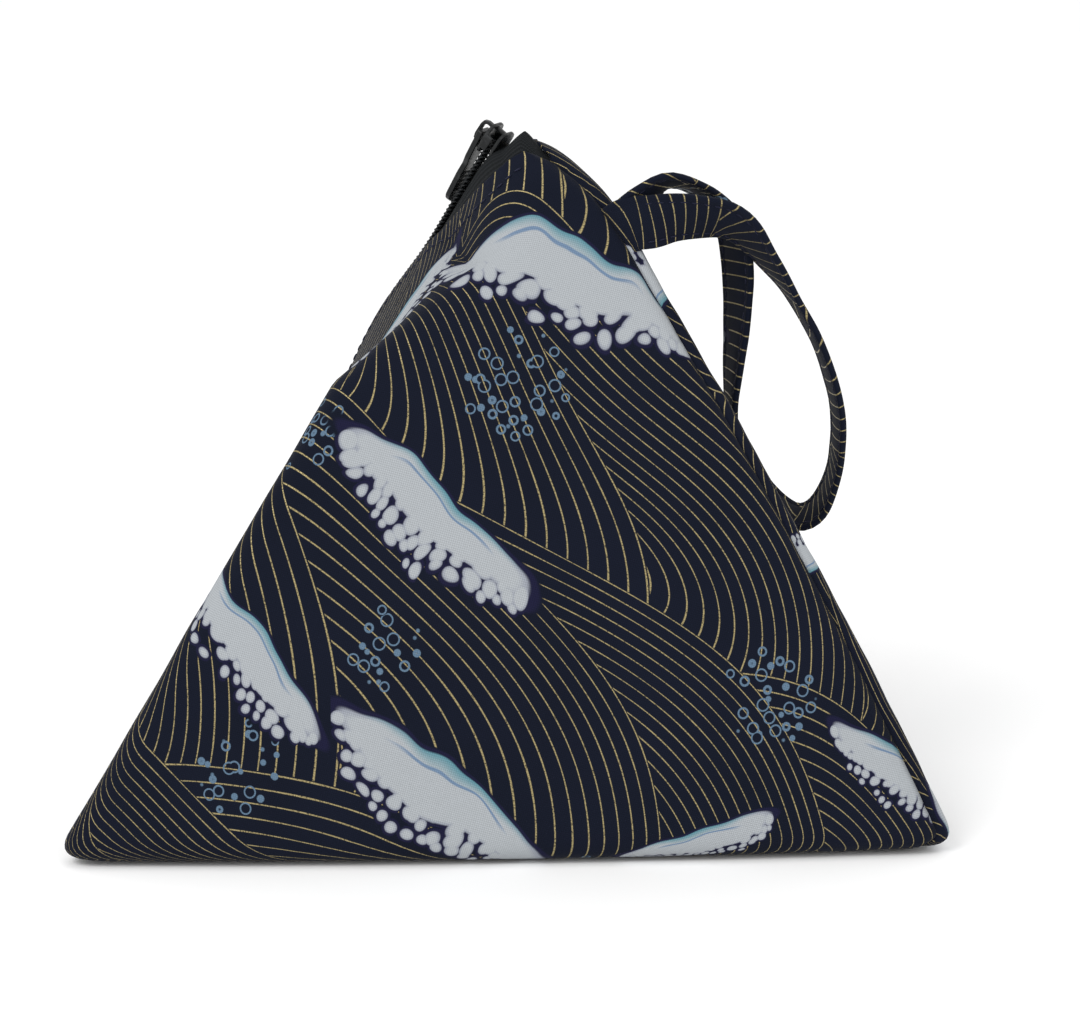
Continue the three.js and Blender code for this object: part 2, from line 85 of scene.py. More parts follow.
def unit(v):
    return v / np.linalg.norm(v)


def towards(v, goal):  # turned round if it points away from the goal
    return v if v @ goal > 0 else -v


leftCorner = np.array([-bagForm["frontEdge"] / 2, -bagForm["bagDepth"] / 2, 0.0])
rightCorner = np.array([bagForm["frontEdge"] / 2, -bagForm["bagDepth"] / 2, 0.0])
backCorner = np.array([bagForm["backCornerShift"], bagForm["bagDepth"] / 2, 0.0])
apexY = bagForm["apexBack"] - bagForm["bagDepth"] / 2
apex = np.array([bagForm["apexShift"], apexY, bagForm["apexHeight"]])
centre = (leftCorner + rightCorner + backCorner + apex) / 4


def outwardNormal(a, b, c):
    return towards(unit(np.cross(b - a, c - a)), a - centre)


zipFoot = (leftCorner + backCorner) / 2
zipUp = unit(apex - zipFoot)
zipOut = outwardNormal(leftCorner, backCorner, apex)
zipAcross = np.cross(zipUp, zipOut)  # towards the front side
arcRadius = (zipForm["span"] ** 2 / 4 + zipForm["rise"] ** 2) / (2 * zipForm["rise"])

frontNormal = outwardNormal(leftCorner, rightCorner, apex)
rightNormal = outwardNormal(rightCorner, backCorner, apex)
ridgeOut = unit(frontNormal + rightNormal)
seamAlong = unit(rightCorner - apex)
seamInward = towards(np.cross(frontNormal, seamAlong), leftCorner - apex)
seamTop = apex + seamInward * bagForm["seamShiftTop"]
seamEnd = rightCorner + seamInward * bagForm["seamShift"]
seamNormal = towards(unit(np.cross(seamTop - zipFoot, seamEnd - zipFoot)), leftCorner - zipFoot)


def zipHeight(up):
    along = np.maximum(up, 0) - zipForm["span"] / 2
    bulge = zipForm["bulge"] * np.exp(-((up - zipForm["bulgeUp"]) / zipForm["bulgeReach"]) ** 4)
    return np.sqrt(arcRadius ** 2 - along ** 2) - (arcRadius - zipForm["rise"]) + bulge


def creaseAcross(up):
    return zipForm["creaseFoot"] * (1 - up / zipForm["creaseTop"])


def awayFromRidge(across):
    beyond = np.maximum(across - zipForm["ridgeFlat"], 0)
    return np.sqrt(beyond ** 2 + zipForm["ridgeRound"] ** 2) - zipForm["ridgeRound"]


def sideSlope(up):
    fall = awayFromRidge(creaseAcross(up))
    steep = np.minimum(zipHeight(up) / np.maximum(fall, 1e-6), zipForm["ridgeSlope"])
    return np.where(fall > 0, steep, zipForm["ridgeSlope"])


def zipSurface(across, up):
    ridge = zipHeight(up) - sideSlope(up) * awayFromRidge(np.abs(across))
    shelf = -zipForm["shelfDrop"] - zipForm["shelfFall"] * np.maximum(up - zipForm["shelfTop"], 0)
    return softMax(ridge, shelf, zipForm["shelfRound"])


edgePath = np.array(zipForm["edgePath"], dtype=float)


def edgeMiddle(along):
    return np.interp(along, edgePath[:, 0], edgePath[:, 1])


def edgeHalf(along):
    return np.interp(along, edgePath[:, 0], edgePath[:, 2])


def pastEdge(across, up, out):  # how far beyond the folded edge of the cloth, negative over the zipper
    along = up - out
    straight = np.abs(across) - zipForm["clothEdge"]
    folded = np.abs(across - edgeMiddle(along)) - edgeHalf(along)
    return np.where(up < zipForm["mouthTop"], straight, folded)


def zipPlace(across, up, out):
    across, up, out = np.broadcast_arrays(across, up, out)
    return zipFoot + across[..., None] * zipAcross + up[..., None] * zipUp + out[..., None] * zipOut


def zipLocal(points):
    local = points - zipFoot
    return local @ zipAcross, local @ zipUp, local @ zipOut


def swollenSide(a, b, c, swell):
    n = outwardNormal(a, b, c)
    middle = (a + b + c) / 3
    reach = sum(np.linalg.norm(corner - middle) for corner in (a, b, c)) / 3
    radius = reach ** 2 / (2 * swell)
    ball = middle + n * (swell - radius)
    return lambda points: np.linalg.norm(points - ball, axis=-1) - radius


def softMax(a, b, width):
    overlap = np.maximum(width - np.abs(a - b), 0)
    return np.maximum(a, b) + overlap ** 2 / (4 * width)


frontSide = swollenSide(leftCorner, rightCorner, apex, bagForm["frontSwell"])
rightSide = swollenSide(rightCorner, backCorner, apex, bagForm["sideSwell"])
apexAxis = unit(apex - centre)
apexLimit = np.linalg.norm(apex - centre) - bagForm["apexDrop"]


def bagLevel(points):  # below zero inside the pouch
    across, up, out = zipLocal(points)
    zipSide = (out - zipSurface(across, up)) / np.sqrt(1 + sideSlope(up) ** 2)
    top = (points - centre) @ apexAxis - apexLimit
    body = softMax(frontSide(points), rightSide(points), bagForm["seamRound"])
    body = softMax(body, top, bagForm["apexRound"])
    body = softMax(body, zipSide, bagForm["foldRound"])
    return softMax(body, -points[..., 2], bagForm["baseRound"])


def lastInside(low, high, rounds, isOutside):
    for step in range(rounds):
        middle = (low + high) / 2
        outside = isOutside(middle)
        high = np.where(outside, middle, high)
        low = np.where(outside, low, middle)
    return low


def onWall(targets, depth=0.0):
    rays = targets - centre
    near, far = np.zeros(len(targets)), np.full(len(targets), search["rayReach"])
    shares = lastInside(
        near, far, search["rayRounds"], lambda share: bagLevel(centre + rays * share[:, None]) > -depth)
    return centre + rays * shares[:, None]


def wallAt(across, along, depth=0.0):  # along runs up the zipper and then over the top of the pouch
    turn = zipForm["turnUp"]
    up = np.where(along < turn, along, turn + (along - turn) * zipForm["turnClimb"])
    targets = zipPlace(across, up, up - along)
    for step in range(search["wallRounds"]):
        points = onWall(targets, depth)
        a, u, o = zipLocal(points)
        onward = ((along - u + o) / 2)[:, None] * (zipUp - zipOut)
        targets = targets + (across - a)[:, None] * zipAcross + onward
    return points


def overZipper(across, up):  # how far out the wall lies over a place on the zipper side
    low, high = np.full(np.shape(up), search["zipLow"]), np.full(np.shape(up), search["zipHigh"])
    return lastInside(low, high, search["zipRounds"], lambda out: bagLevel(zipPlace(across, up, out)) > 0)


def wallNormal(points):
    steps = np.eye(3) * search["slopeStep"]
    slope = np.stack([bagLevel(points + step) - bagLevel(points - step) for step in steps], axis=-1)
    return slope / np.linalg.norm(slope, axis=-1, keepdims=True)


def wayAlong(points):  # the length of a path up to each of its points
    return np.concatenate([[0], np.cumsum(np.linalg.norm(np.diff(points, axis=0), axis=1))])


def valueAt(way, ways, values):
    return np.stack([np.interp(way, ways, values[:, i]) for i in range(3)], axis=-1)


def axesMatrix(x, y, z, spot):
    return Matrix([*np.column_stack([x, y, z, spot]).tolist(), (0, 0, 0, 1)])


def addObject(name, data):
    obj = bpy.data.objects.new(name, data)
    bpy.context.scene.collection.objects.link(obj)
    return obj


def newPiece(name, bm, *materials):
    mesh = bpy.data.meshes.new(name)
    bm.to_mesh(mesh)
    bm.free()
    for material in materials:
        mesh.materials.append(material)
    return addObject(name, mesh)


def smooth(obj):
    obj.data.polygons.foreach_set("use_smooth", [True] * len(obj.data.polygons))
    obj.data.update()
    return obj


def thicken(obj, thick):  # a sheet gets its thickness on its inner side
    solid = obj.modifiers.new("thickness", "SOLIDIFY")
    solid.thickness = thick * mm
    solid.offset = -1
    return solid


def settle(obj):  # modifiers become part of the mesh
    graph = bpy.context.evaluated_depsgraph_get()
    mesh = bpy.data.meshes.new_from_object(obj.evaluated_get(graph))
    obj.modifiers.clear()
    old = obj.data
    obj.data = mesh
    mesh.name = obj.name
    bpy.data.meshes.remove(old)


# a socket of a shader graph, which takes plain arithmetic with numbers and other sockets
class Wire:
    def __init__(self, tree, socket):
        self.tree = tree
        self.socket = socket

    def __add__(self, other):
        return calc("ADD", self, other)

    def __sub__(self, other):
        return calc("SUBTRACT", self, other)

    def __rsub__(self, other):
        return calc("SUBTRACT", other, self)

    def __mul__(self, other):
        return calc("MULTIPLY", self, other)

    def __truediv__(self, other):
        return calc("DIVIDE", self, other)

    def __lt__(self, other):
        return calc("LESS_THAN", self, other)

    def __gt__(self, other):
        return calc("GREATER_THAN", self, other)


def feed(socket, value):
    if isinstance(value, Wire):
        value.tree.links.new(value.socket, socket)
    else:
        socket.default_value = value


def addNode(tree, kind, inputs, **settings):  # gives its outputs by name or number
    node = tree.nodes.new("ShaderNode" + kind)
    for setting, value in settings.items():
        setattr(node, setting, value)
    for key, value in inputs.items():
        feed(node.inputs[key], value)
    return lambda key: Wire(tree, node.outputs[key])


def treeOf(*values):
    return next(value.tree for value in values if isinstance(value, Wire))


def calc(operation, a, b=0.0, c=0.0):
    return addNode(treeOf(a, b), "Math", {0: a, 1: b, 2: c}, operation=operation)(0)


def vectorCalc(operation, a, b=(0, 0, 0), scale=1.0):
    node = addNode(a.tree, "VectorMath", {0: a, 1: b, 2: (0, 0, 0), 3: scale}, operation=operation)
    return node("Value" if operation in ("DISTANCE", "LENGTH") else "Vector")


def square(value, size=1.0):
    part = value / size
    return part * part


def ramp(value, low, high, lowOut=0.0, highOut=1.0):
    ends = {"Value": value, "From Min": low, "From Max": high, "To Min": lowOut, "To Max": highOut}
    return addNode(value.tree, "MapRange", ends, interpolation_type="SMOOTHSTEP")("Result")


mixSockets = {"FLOAT": (2, 3, 0), "VECTOR": (4, 5, 1), "RGBA": (6, 7, 2)}  # two ways in, one out


def mix(kind, share, a, b, blend="MIX"):
    first, second, result = mixSockets[kind]
    inputs = {0: share, first: a, second: b}
    return addNode(treeOf(share, a, b), "Mix", inputs, data_type=kind, blend_type=blend)(result)


def tint(share, a, b, blend="MIX"):
    return mix("RGBA", share, a, b, blend)


def grain(vector, scale, detail=2.0, rough=0.5, result="Fac"):
    inputs = {"Vector": vector, "Scale": scale, "Detail": detail, "Roughness": rough}
    return addNode(vector.tree, "TexNoise", inputs)(result)


def drift(vector, scale, detail):  # a vector that wanders about zero
    return vectorCalc("SUBTRACT", grain(vector, scale, detail, result="Color"), (0.5, 0.5, 0.5))


def bump(height, strength, distance):
    inputs = {"Strength": strength, "Distance": distance, "Height": height}
    return addNode(height.tree, "Bump", inputs)("Normal")


def splitXyz(vector):
    parts = addNode(vector.tree, "SeparateXYZ", {0: vector})
    return parts("X"), parts("Y"), parts("Z")


def turned(vector, angle):
    inputs = {"Vector": vector, "Angle": angle}
    return addNode(vector.tree, "VectorRotate", inputs, rotation_type="Z_AXIS")(0)


def newMaterial(name):
    material = bpy.data.materials.new(name)
    material.use_nodes = True
    return material


def dress(material, inputs):
    shader = material.node_tree.nodes["Principled BSDF"]
    for key, value in inputs.items():
        feed(shader.inputs[key], value)
    return material


def makeMaterial(name, looks):
    material = newMaterial(name)
    return dress(material, looks(material.node_tree))


def flatPlace(tree):  # the cloth's flat coordinates, in millimetres
    return vectorCalc("SCALE", addNode(tree, "UVMap", {}, uv_map="flat")("UV"), scale=1000.0)


def objectPlace(tree):
    return addNode(tree, "TexCoord", {})("Object")


def ribs(value, pitch):
    return calc("SINE", value * (2 * math.pi / pitch))


def plainWeave(place, pitch):  # over and under threads, as a height from 0 to 1
    x, y = splitXyz(place)[:2]
    return calc("MULTIPLY_ADD", ribs(x, pitch) * ribs(y, pitch), 0.5, 0.5)


cottonPrint = {
    "ground": (0.0042, 0.0064, 0.0170, 1), "groundDeep": (0.0022, 0.0040, 0.0105, 1),
    "gold": (0.26, 0.205, 0.085, 1), "goldPale": (0.41, 0.345, 0.18, 1),
    "white": (0.345, 0.366, 0.385, 1), "aqua": (0.092, 0.225, 0.27, 1),
    "blue": (0.10, 0.17, 0.28, 1), "ringTint": (0.095, 0.155, 0.225, 1),
    "ink": (0.008, 0.008, 0.030, 1), "shade": (0.185, 0.20, 0.26, 1),
    "weavePitch": 0.68, "slub": (0.5, 3.2, 1), "repeat": 228.0,
    # fans of arcs: turn, size, rows, and how far they wander
    "flow": -0.20, "sweepLong": 96.0, "sweepWide": 58.0, "rowStep": 0.44, "rowShift": 0.68,
    "wander": 62.0, "wanderScale": 1 / 120,
    "lines": 20.0, "lineStart": 0.62, "lineHalf": 0.041, "lineSoft": 0.020, "lineSwing": 0.05,
    "foilBreaks": (0.34, 0.50, 0.25, 1.0),
    # clouds on the flat cloth: place along, place across, turn in degrees, size
    "clouds": [
        (58, 182, 34, 1.2), (30, 143, 119, 0.9), (92, 128, 20, 0.94), (96, 76, 10, 0.88),
        (146, 100, 22, 1.0), (186, 146, 80, 0.6), (198, 197, 28, 0.7), (24, 46, 40, 0.9),
        (200, 52, -20, 1.0),
    ],
    "cloudBody": (30.0, 5.4), "cloudWarp": 10.0, "cloudWarpScale": 0.055, "cloudSeed": -7.3,
    # rows of round lobes along a cloud's lower edge: spacing, drop, uneven drop
    "lobeRows": [(5.2, 3.6, 2.2), (4.2, 5.4, 3.4), (3.6, 8.0, 4.6)],
    "lobeShift": 0.37, "lobeSeed": 57.0, "lobeSize": (0.18, 0.31), "lobeSpan": 0.2, "noLobe": -9.0,
    # soft borders, by distance from a cloud's edge or by height in the cloud
    "cloudEdge": (0.18, -0.18), "inkEdge": (0.9, 0.5), "lineClear": (0.8, 1.1), "ringClear": (1.0, 1.6),
    "shadeEdge": (-0.75, -0.1), "aquaLift": (2.4, 5.6),
    "rimDepth": 2.2, "rimEdge": (0.36, 0.14), "rimLift": (0.8, 2.5),
    # light blue rings in loose clusters: place along, place across, reach
    "bubbles": [
        (76, 158, 17), (60, 112, 13), (112, 104, 12), (118, 60, 15), (166, 176, 16), (188, 120, 13),
        (30, 88, 12),
    ],
    "ringStep": 3.3, "ringSize": 1.35, "ringLine": 0.24, "ringLeast": 0.75,
}


def sweepDistance(place):  # overlapping fans of arcs: distance from the middle of the top fan
    spec = cottonPrint
    shift = drift(vectorCalc("SCALE", place, scale=spec["wanderScale"]), 1.0, 0.0)
    place = vectorCalc("ADD", place, vectorCalc("SCALE", shift, scale=spec["wander"]))
    sizes = (1 / spec["sweepLong"], 1 / spec["sweepWide"], 0)
    x, y = splitXyz(vectorCalc("MULTIPLY", turned(place, spec["flow"]), sizes))[:2]
    step = spec["rowStep"]
    lowest = calc("CEIL", (y - 1.0) / step)
    result = None
    for k in (4, 3, 2, 1, 0):  # the lowest row lies on top
        row = lowest + float(k)
        dx = x - calc("FLOORED_MODULO", row, 3.0) * spec["rowShift"]
        dx = dx - calc("ROUND", dx * 0.5) * 2.0
        dy = y - row * step
        far = calc("SQRT", dx * dx + dy * dy)
        result = far if result is None else mix("FLOAT", far < 1.0, result, far)
    return result


def nearestCloud(place):  # the place in the axes of the closest cloud, with its number as height
    spec = cottonPrint
    long, wide = spec["cloudBody"]
    best = None
    for number, (along, across, turn, size) in enumerate(spec["clouds"]):
        local = vectorCalc("SUBTRACT", place, (along, across, spec["cloudSeed"] * number))
        local = vectorCalc("SCALE", turned(local, -math.radians(turn)), scale=1 / size)
        reach = vectorCalc("LENGTH", vectorCalc("MULTIPLY", local, (1 / long, 0.45 / wide, 0)))
        if best is None:
            best, chosen = reach, local
        else:
            chosen = mix("VECTOR", reach < best, chosen, local)
            best = calc("MINIMUM", best, reach)
    return chosen


def cloudField(place):  # signed distance to the nearest cloud, and the height within it
    spec = cottonPrint
    warp = (spec["cloudWarp"], spec["cloudWarp"], 0)
    shift = vectorCalc("MULTIPLY", drift(place, spec["cloudWarpScale"], 1.0), warp)
    x, y, number = splitXyz(vectorCalc("ADD", nearestCloud(place), shift))
    long, wide = spec["cloudBody"]
    body = (calc("SQRT", square(x, long) + square(y, wide)) - 1.0) * wide
    uneven, least = spec["lobeSize"]
    for row, (step, drop, unevenDrop) in enumerate(spec["lobeRows"]):
        shift = spec["lobeShift"] * row
        cell = calc("FLOOR", calc("MULTIPLY_ADD", x, 1 / step, shift))
        middle = (cell + (0.5 - shift)) * step
        seed = addNode(place.tree, "CombineXYZ", {0: cell, 1: number + spec["lobeSeed"] * row})(0)
        chance = addNode(place.tree, "TexWhiteNoise", {"Vector": seed}, noise_dimensions="2D")
        parts = addNode(place.tree, "SeparateColor", {0: chance("Color")})
        span = calc("SQRT", calc("MAXIMUM", 1.0 - square(middle, long), 0.0))
        low = span * calc("MULTIPLY_ADD", parts(0), -unevenDrop, -drop)
        size = calc("MULTIPLY_ADD", parts(1), uneven * step, least * step)
        size = mix("FLOAT", span > spec["lobeSpan"], spec["noLobe"], size)
        far = calc("SQRT", square(x - middle) + square(y - low))
        body = calc("MINIMUM", body, far - size)
    return body, y


def ringMask(place):  # rings of light blue, only inside the listed clusters
    spec = cottonPrint
    inputs = {"Vector": place, "Scale": 1 / spec["ringStep"], "Randomness": 0.7}
    cells = addNode(place.tree, "TexVoronoi", inputs, feature="F1")
    allowed = None
    for along, across, reach in spec["bubbles"]:
        near = vectorCalc("DISTANCE", cells("Position"), (along, across, 0))
        near = ramp(near, reach, reach * 0.55)
        allowed = near if allowed is None else calc("MAXIMUM", allowed, near)
    size = allowed * spec["ringSize"]
    off = calc("ABSOLUTE", cells("Distance") * spec["ringStep"] - size)
    return ramp(off, spec["ringLine"], spec["ringLine"] * 0.45) * (size > spec["ringLeast"])


def cottonLooks(tree):
    spec = cottonPrint
    place = flatPlace(tree)
    ring = calc("FRACT", calc("MULTIPLY_ADD", sweepDistance(place), spec["lines"], spec["lineStart"]))
    thin = spec["lineHalf"] - spec["lineSwing"] / 2
    width = calc("MULTIPLY_ADD", grain(place, 0.09, 1.0), spec["lineSwing"], thin)
    line = ramp(calc("ABSOLUTE", ring - 0.5), width + spec["lineSoft"], width - spec["lineSoft"])
    speck = grain(place, 2.2, 2.0, 0.6)
    line = line * ramp(speck, *spec["foilBreaks"])
    spot = vectorCalc("WRAP", place, (spec["repeat"], spec["repeat"] * 2, 1))
    cloud, lift = cloudField(spot)
    line = line * ramp(cloud, *spec["lineClear"])
    rings = ringMask(spot) * ramp(cloud, *spec["ringClear"])
    rim = ramp(calc("ABSOLUTE", cloud + spec["rimDepth"]), *spec["rimEdge"]) * ramp(lift, *spec["rimLift"])
    body = tint(ramp(cloud, *spec["shadeEdge"]) * 0.55, spec["white"], spec["shade"])
    body = tint(ramp(lift, *spec["aquaLift"]), body, spec["aqua"])
    body = tint(rim * 0.85, body, spec["blue"])
    colour = tint(grain(place, 0.035, 3.0), spec["groundDeep"], spec["ground"])
    colour = tint(line, colour, tint(speck, spec["gold"], spec["goldPale"]))
    colour = tint(rings, colour, spec["ringTint"])
    colour = tint(ramp(cloud, *spec["inkEdge"]), colour, spec["ink"])
    colour = tint(ramp(cloud, *spec["cloudEdge"]), colour, body)
    weave = plainWeave(place, spec["weavePitch"])
    slub = grain(vectorCalc("MULTIPLY", place, spec["slub"]), 1.0)
    # darker where the weave sinks: painted shade between the threads, times a random slub tone of the yarn
    weaveShadeAndSlub = calc("MULTIPLY_ADD", weave, 0.40, 0.80) * calc("MULTIPLY_ADD", slub, 0.12, 0.94)
    shine = line * (1.0 - rings)
    height = calc("MULTIPLY_ADD", weave, 0.6, slub * 0.8)
    return {
        "Base Color": tint(1.0, colour, weaveShadeAndSlub, "MULTIPLY"), "Metallic": shine * 0.72,
        "Roughness": mix("FLOAT", shine, 0.86, 0.40), "Normal": bump(height, 0.35, 0.00025),
        "Sheen Weight": 0.03, "Sheen Roughness": 0.5, "Specular IOR Level": 0.12,
    }


liningCloth = {
    "colour": (0.60, 0.65, 0.66, 1), "shade": (0.50, 0.56, 0.58, 1), "weavePitch": 0.5, "slub": (2.8, 0.4, 1),
}


def liningLooks(tree):
    place = flatPlace(tree)
    slub = grain(vectorCalc("MULTIPLY", place, liningCloth["slub"]), 1.0)
    weave = plainWeave(place, liningCloth["weavePitch"])
    return {
        "Base Color": tint(slub, liningCloth["shade"], liningCloth["colour"]),
        "Roughness": 0.9, "Sheen Weight": 0.1, "Normal": bump(weave, 0.3, 0.0003),
    }


zipFinish = {
    # the pale tape tone is painted highlight on the tape's rib crests, and a random haze tone on the coil
    "tape": (0.0055, 0.0065, 0.0075, 1), "ribHighlightAndHaze": (0.015, 0.017, 0.019, 1),
    "ribPitch": 0.9, "twillPitch": 0.7, "twillSkew": 0.6,
    "nylon": (0.007, 0.008, 0.009, 1), "enamel": (0.005, 0.0058, 0.0065, 1), "worn": (0.035, 0.037, 0.039, 1),
    # the pale thread tone is painted highlight along the twisted plies of the stitches
    "thread": (0.006, 0.007, 0.018, 1), "threadPlyHighlight": (0.016, 0.018, 0.042, 1),
}


def tapeLooks(tree):
    x, y = splitXyz(flatPlace(tree))[:2]
    twill = ribs(y + x * zipFinish["twillSkew"], zipFinish["twillPitch"])
    height = calc("MULTIPLY_ADD", ribs(x, zipFinish["ribPitch"]), 0.6, twill * 0.4)
    return {
        # paler on the rib and twill crests, darker in the grooves: painted highlight and shade following the
        # weave's height
        "Base Color": tint(ramp(height, -0.6, 0.9), zipFinish["tape"], zipFinish["ribHighlightAndHaze"]),
        "Roughness": 0.78, "Specular IOR Level": 0.12, "Normal": bump(height, 0.5, 0.0003),
    }


def nylonLooks(tree):
    haze = grain(objectPlace(tree), 900.0)
    return {
        "Base Color": tint(haze, zipFinish["nylon"], zipFinish["ribHighlightAndHaze"]),
        "Roughness": ramp(haze, 0.2, 0.8, 0.32, 0.5), "Specular IOR Level": 0.25,
    }


def enamelLooks(tree):
    where = objectPlace(tree)
    fine = grain(where, 1400.0, 3.0)
    rub = ramp(grain(where, 260.0, 3.0), 0.56, 0.74)
    return {
        "Base Color": tint(rub * 0.6, zipFinish["enamel"], zipFinish["worn"]),
        "Roughness": ramp(fine, 0.25, 0.8, 0.22, 0.42), "Normal": bump(fine, 0.12, 0.0002),
        "Specular IOR Level": 0.22, "Coat Weight": 0.06, "Coat Roughness": 0.12,
    }


def threadLooks(tree):
    inputs = {"Vector": objectPlace(tree), "Scale": 900.0}
    twist = addNode(tree, "TexWave", inputs, wave_type="BANDS", bands_direction="DIAGONAL")("Fac")
    return {
        # paler diagonal bands along the twist: painted highlight on the thread's plies
        "Base Color": tint(twist, zipFinish["thread"], zipFinish["threadPlyHighlight"]),
        "Roughness": 0.55, "Specular IOR Level": 0.15, "Normal": bump(twist, 0.4, 0.0002),
    }


printCotton = makeMaterial("printedCotton", cottonLooks)
paleCotton = makeMaterial("palePlainCotton", liningLooks)
ribbedTape = makeMaterial("blackRibbedTape", tapeLooks)
blackNylon = makeMaterial("blackNylon", nylonLooks)
blackEnamel = makeMaterial("blackEnamel", enamelLooks)
navyThread = makeMaterial("navyThread", threadLooks)
print("materials made")


# the wall: one padded skin, cut into panels along the seams and the mouth
wall = {
    "levels": 7, "thick": 3.3, "thinEdge": 1.3, "taper": 9.0,
    "rumple": 0.85, "rumpleScale": 62.0, "rumpleStart": (3.1, 1.7, 5.2),
    "fineRumple": 0.22, "fineScale": 17.0,
    "footFlat": 1.5, "footReach": 14, "zipCalm": 8, "zipDeep": 12,  # where it stays smooth
    "grooveDeep": 1.25, "grooveWide": 1.3, "pucker": 0.30, "puckerStep": 7.5, "puckerReach": 9.0,
    "puckerRows": (0.4, 7.9), "ridgeReach": 40,
    "seamCuts": (-2.4, -1.0, 0.0, 1.0, 2.4), "snap": 0.45, "cutSlack": 0.02,
    "cutDeep": 16, "cutTop": 140, "edgeReach": 16, "edgeSlack": 2, "skinDeep": 14, "taperMargin": 4,
}
panelNames = (
    "pouchFront", "pouchBack", "mouthFrontLower", "mouthFrontUpper", "mouthBackLower", "mouthBackUpper")
zipSideTag, frontTag, rightTag, baseTag = 0, 1, 2, 3


def flatPatches():  # each side or half side: its corners, and their places on the flat cloth
    w, h = bagForm["flatWidth"], bagForm["flatLength"]
    return [
        (frontTag, 0, (leftCorner, apex, rightCorner), ((w / 2, 0), (0, h), (w, h))),
        (rightTag, 0, (backCorner, apex, rightCorner), ((1.5 * w, 0), (2 * w, h), (w, h))),
        (zipSideTag, 1, (leftCorner, apex, zipFoot), ((w / 2, 0), (0, h), (0, 0))),
        (zipSideTag, -1, (backCorner, apex, zipFoot), ((1.5 * w, 0), (2 * w, h), (2 * w, 0))),
        (baseTag, 1, (leftCorner, zipFoot, rightCorner), ((w / 2, 0), (w, 0), (w, h))),
        (baseTag, -1, (backCorner, zipFoot, rightCorner), ((1.5 * w, 0), (w, 0), (w, h))),
    ]


def sharesIn(corners, points):
    a, b, c = corners
    matrix = np.stack([a - c, b - c], axis=1)
    solved = np.linalg.lstsq(matrix, (points - c).T, rcond=None)[0].T
    return np.column_stack([solved, 1 - solved.sum(axis=1)])


def tagSides(bm):  # which side each face is on, and where it lay on the flat cloth
    side = bm.faces.layers.int.new("side")
    flat = bm.loops.layers.uv.new("flat")
    places = np.array([[loop.vert.co for loop in face.loops] for face in bm.faces])
    middles = places.mean(axis=1) - zipFoot
    normals = np.array([face.normal for face in bm.faces])
    facing = [normals @ zipOut, normals @ frontNormal, normals @ rightNormal, -normals[:, 2]]
    tags = np.argmax(np.stack(facing, axis=1), axis=1)
    beyond = middles @ np.cross(unit(rightCorner - zipFoot), np.array([0.0, 0.0, 1.0]))
    halves = np.where(tags == zipSideTag, middles @ zipAcross, beyond)
    spots = np.zeros((len(places), 3, 2))
    for tag, half, corners, flats in flatPatches():
        chosen = (tags == tag) & (halves * half >= 0)
        shares = sharesIn(corners, places[chosen].reshape(-1, 3))
        spots[chosen] = (shares @ np.array(flats) * mm).reshape(-1, 3, 2)
        if tag == rightTag or half < 0:
            spots[chosen] += np.array(bagForm["backShift"]) * mm
    for face, tag, spot in zip(bm.faces, tags, spots):
        face[side] = int(tag)
        for loop, uv in zip(face.loops, spot):
            loop[flat].uv = uv


def fromSeam(place):
    return (place - Vector(zipFoot)) @ Vector(seamNormal)


def pouchSkin():
    bm = bmesh.new()
    bmesh.ops.create_cone(bm, cap_ends=True, segments=3, radius1=1, radius2=0, depth=1)
    bmesh.ops.remove_doubles(bm, verts=bm.verts, dist=1e-4)
    base = sorted([v for v in bm.verts if v.co.z < 0], key=lambda v: math.atan2(v.co.y, v.co.x))
    top = [v for v in bm.verts if v.co.z > 0]
    for vert, corner in zip(base + top, (leftCorner, rightCorner, backCorner, apex)):
        vert.co = corner
    bmesh.ops.recalc_face_normals(bm, faces=bm.faces)
    for level in range(wall["levels"]):
        bmesh.ops.subdivide_edges(bm, edges=bm.edges, cuts=1, use_grid_fill=True)
    bmesh.ops.triangulate(bm, faces=[f for f in bm.faces if len(f.verts) > 3])
    tagSides(bm)
    for vert, point in zip(bm.verts, onWall(np.array([v.co for v in bm.verts]))):
        vert.co = point
    for offset in wall["seamCuts"]:
        for vert in bm.verts:  # points close to the cut move onto it
            away = fromSeam(vert.co) - offset
            if abs(away) < wall["snap"]:
                vert.co -= Vector(seamNormal) * away
        cutAt(bm, bm.faces[:], zipFoot + seamNormal * offset, seamNormal)
    bmesh.ops.triangulate(bm, faces=[f for f in bm.faces if len(f.verts) > 3])
    bm.normal_update()
    half = bm.faces.layers.int.new("half")
    for face in bm.faces:
        face[half] = int(fromSeam(face.calc_center_median()) > 0)
    rumple(bm)
    return bm


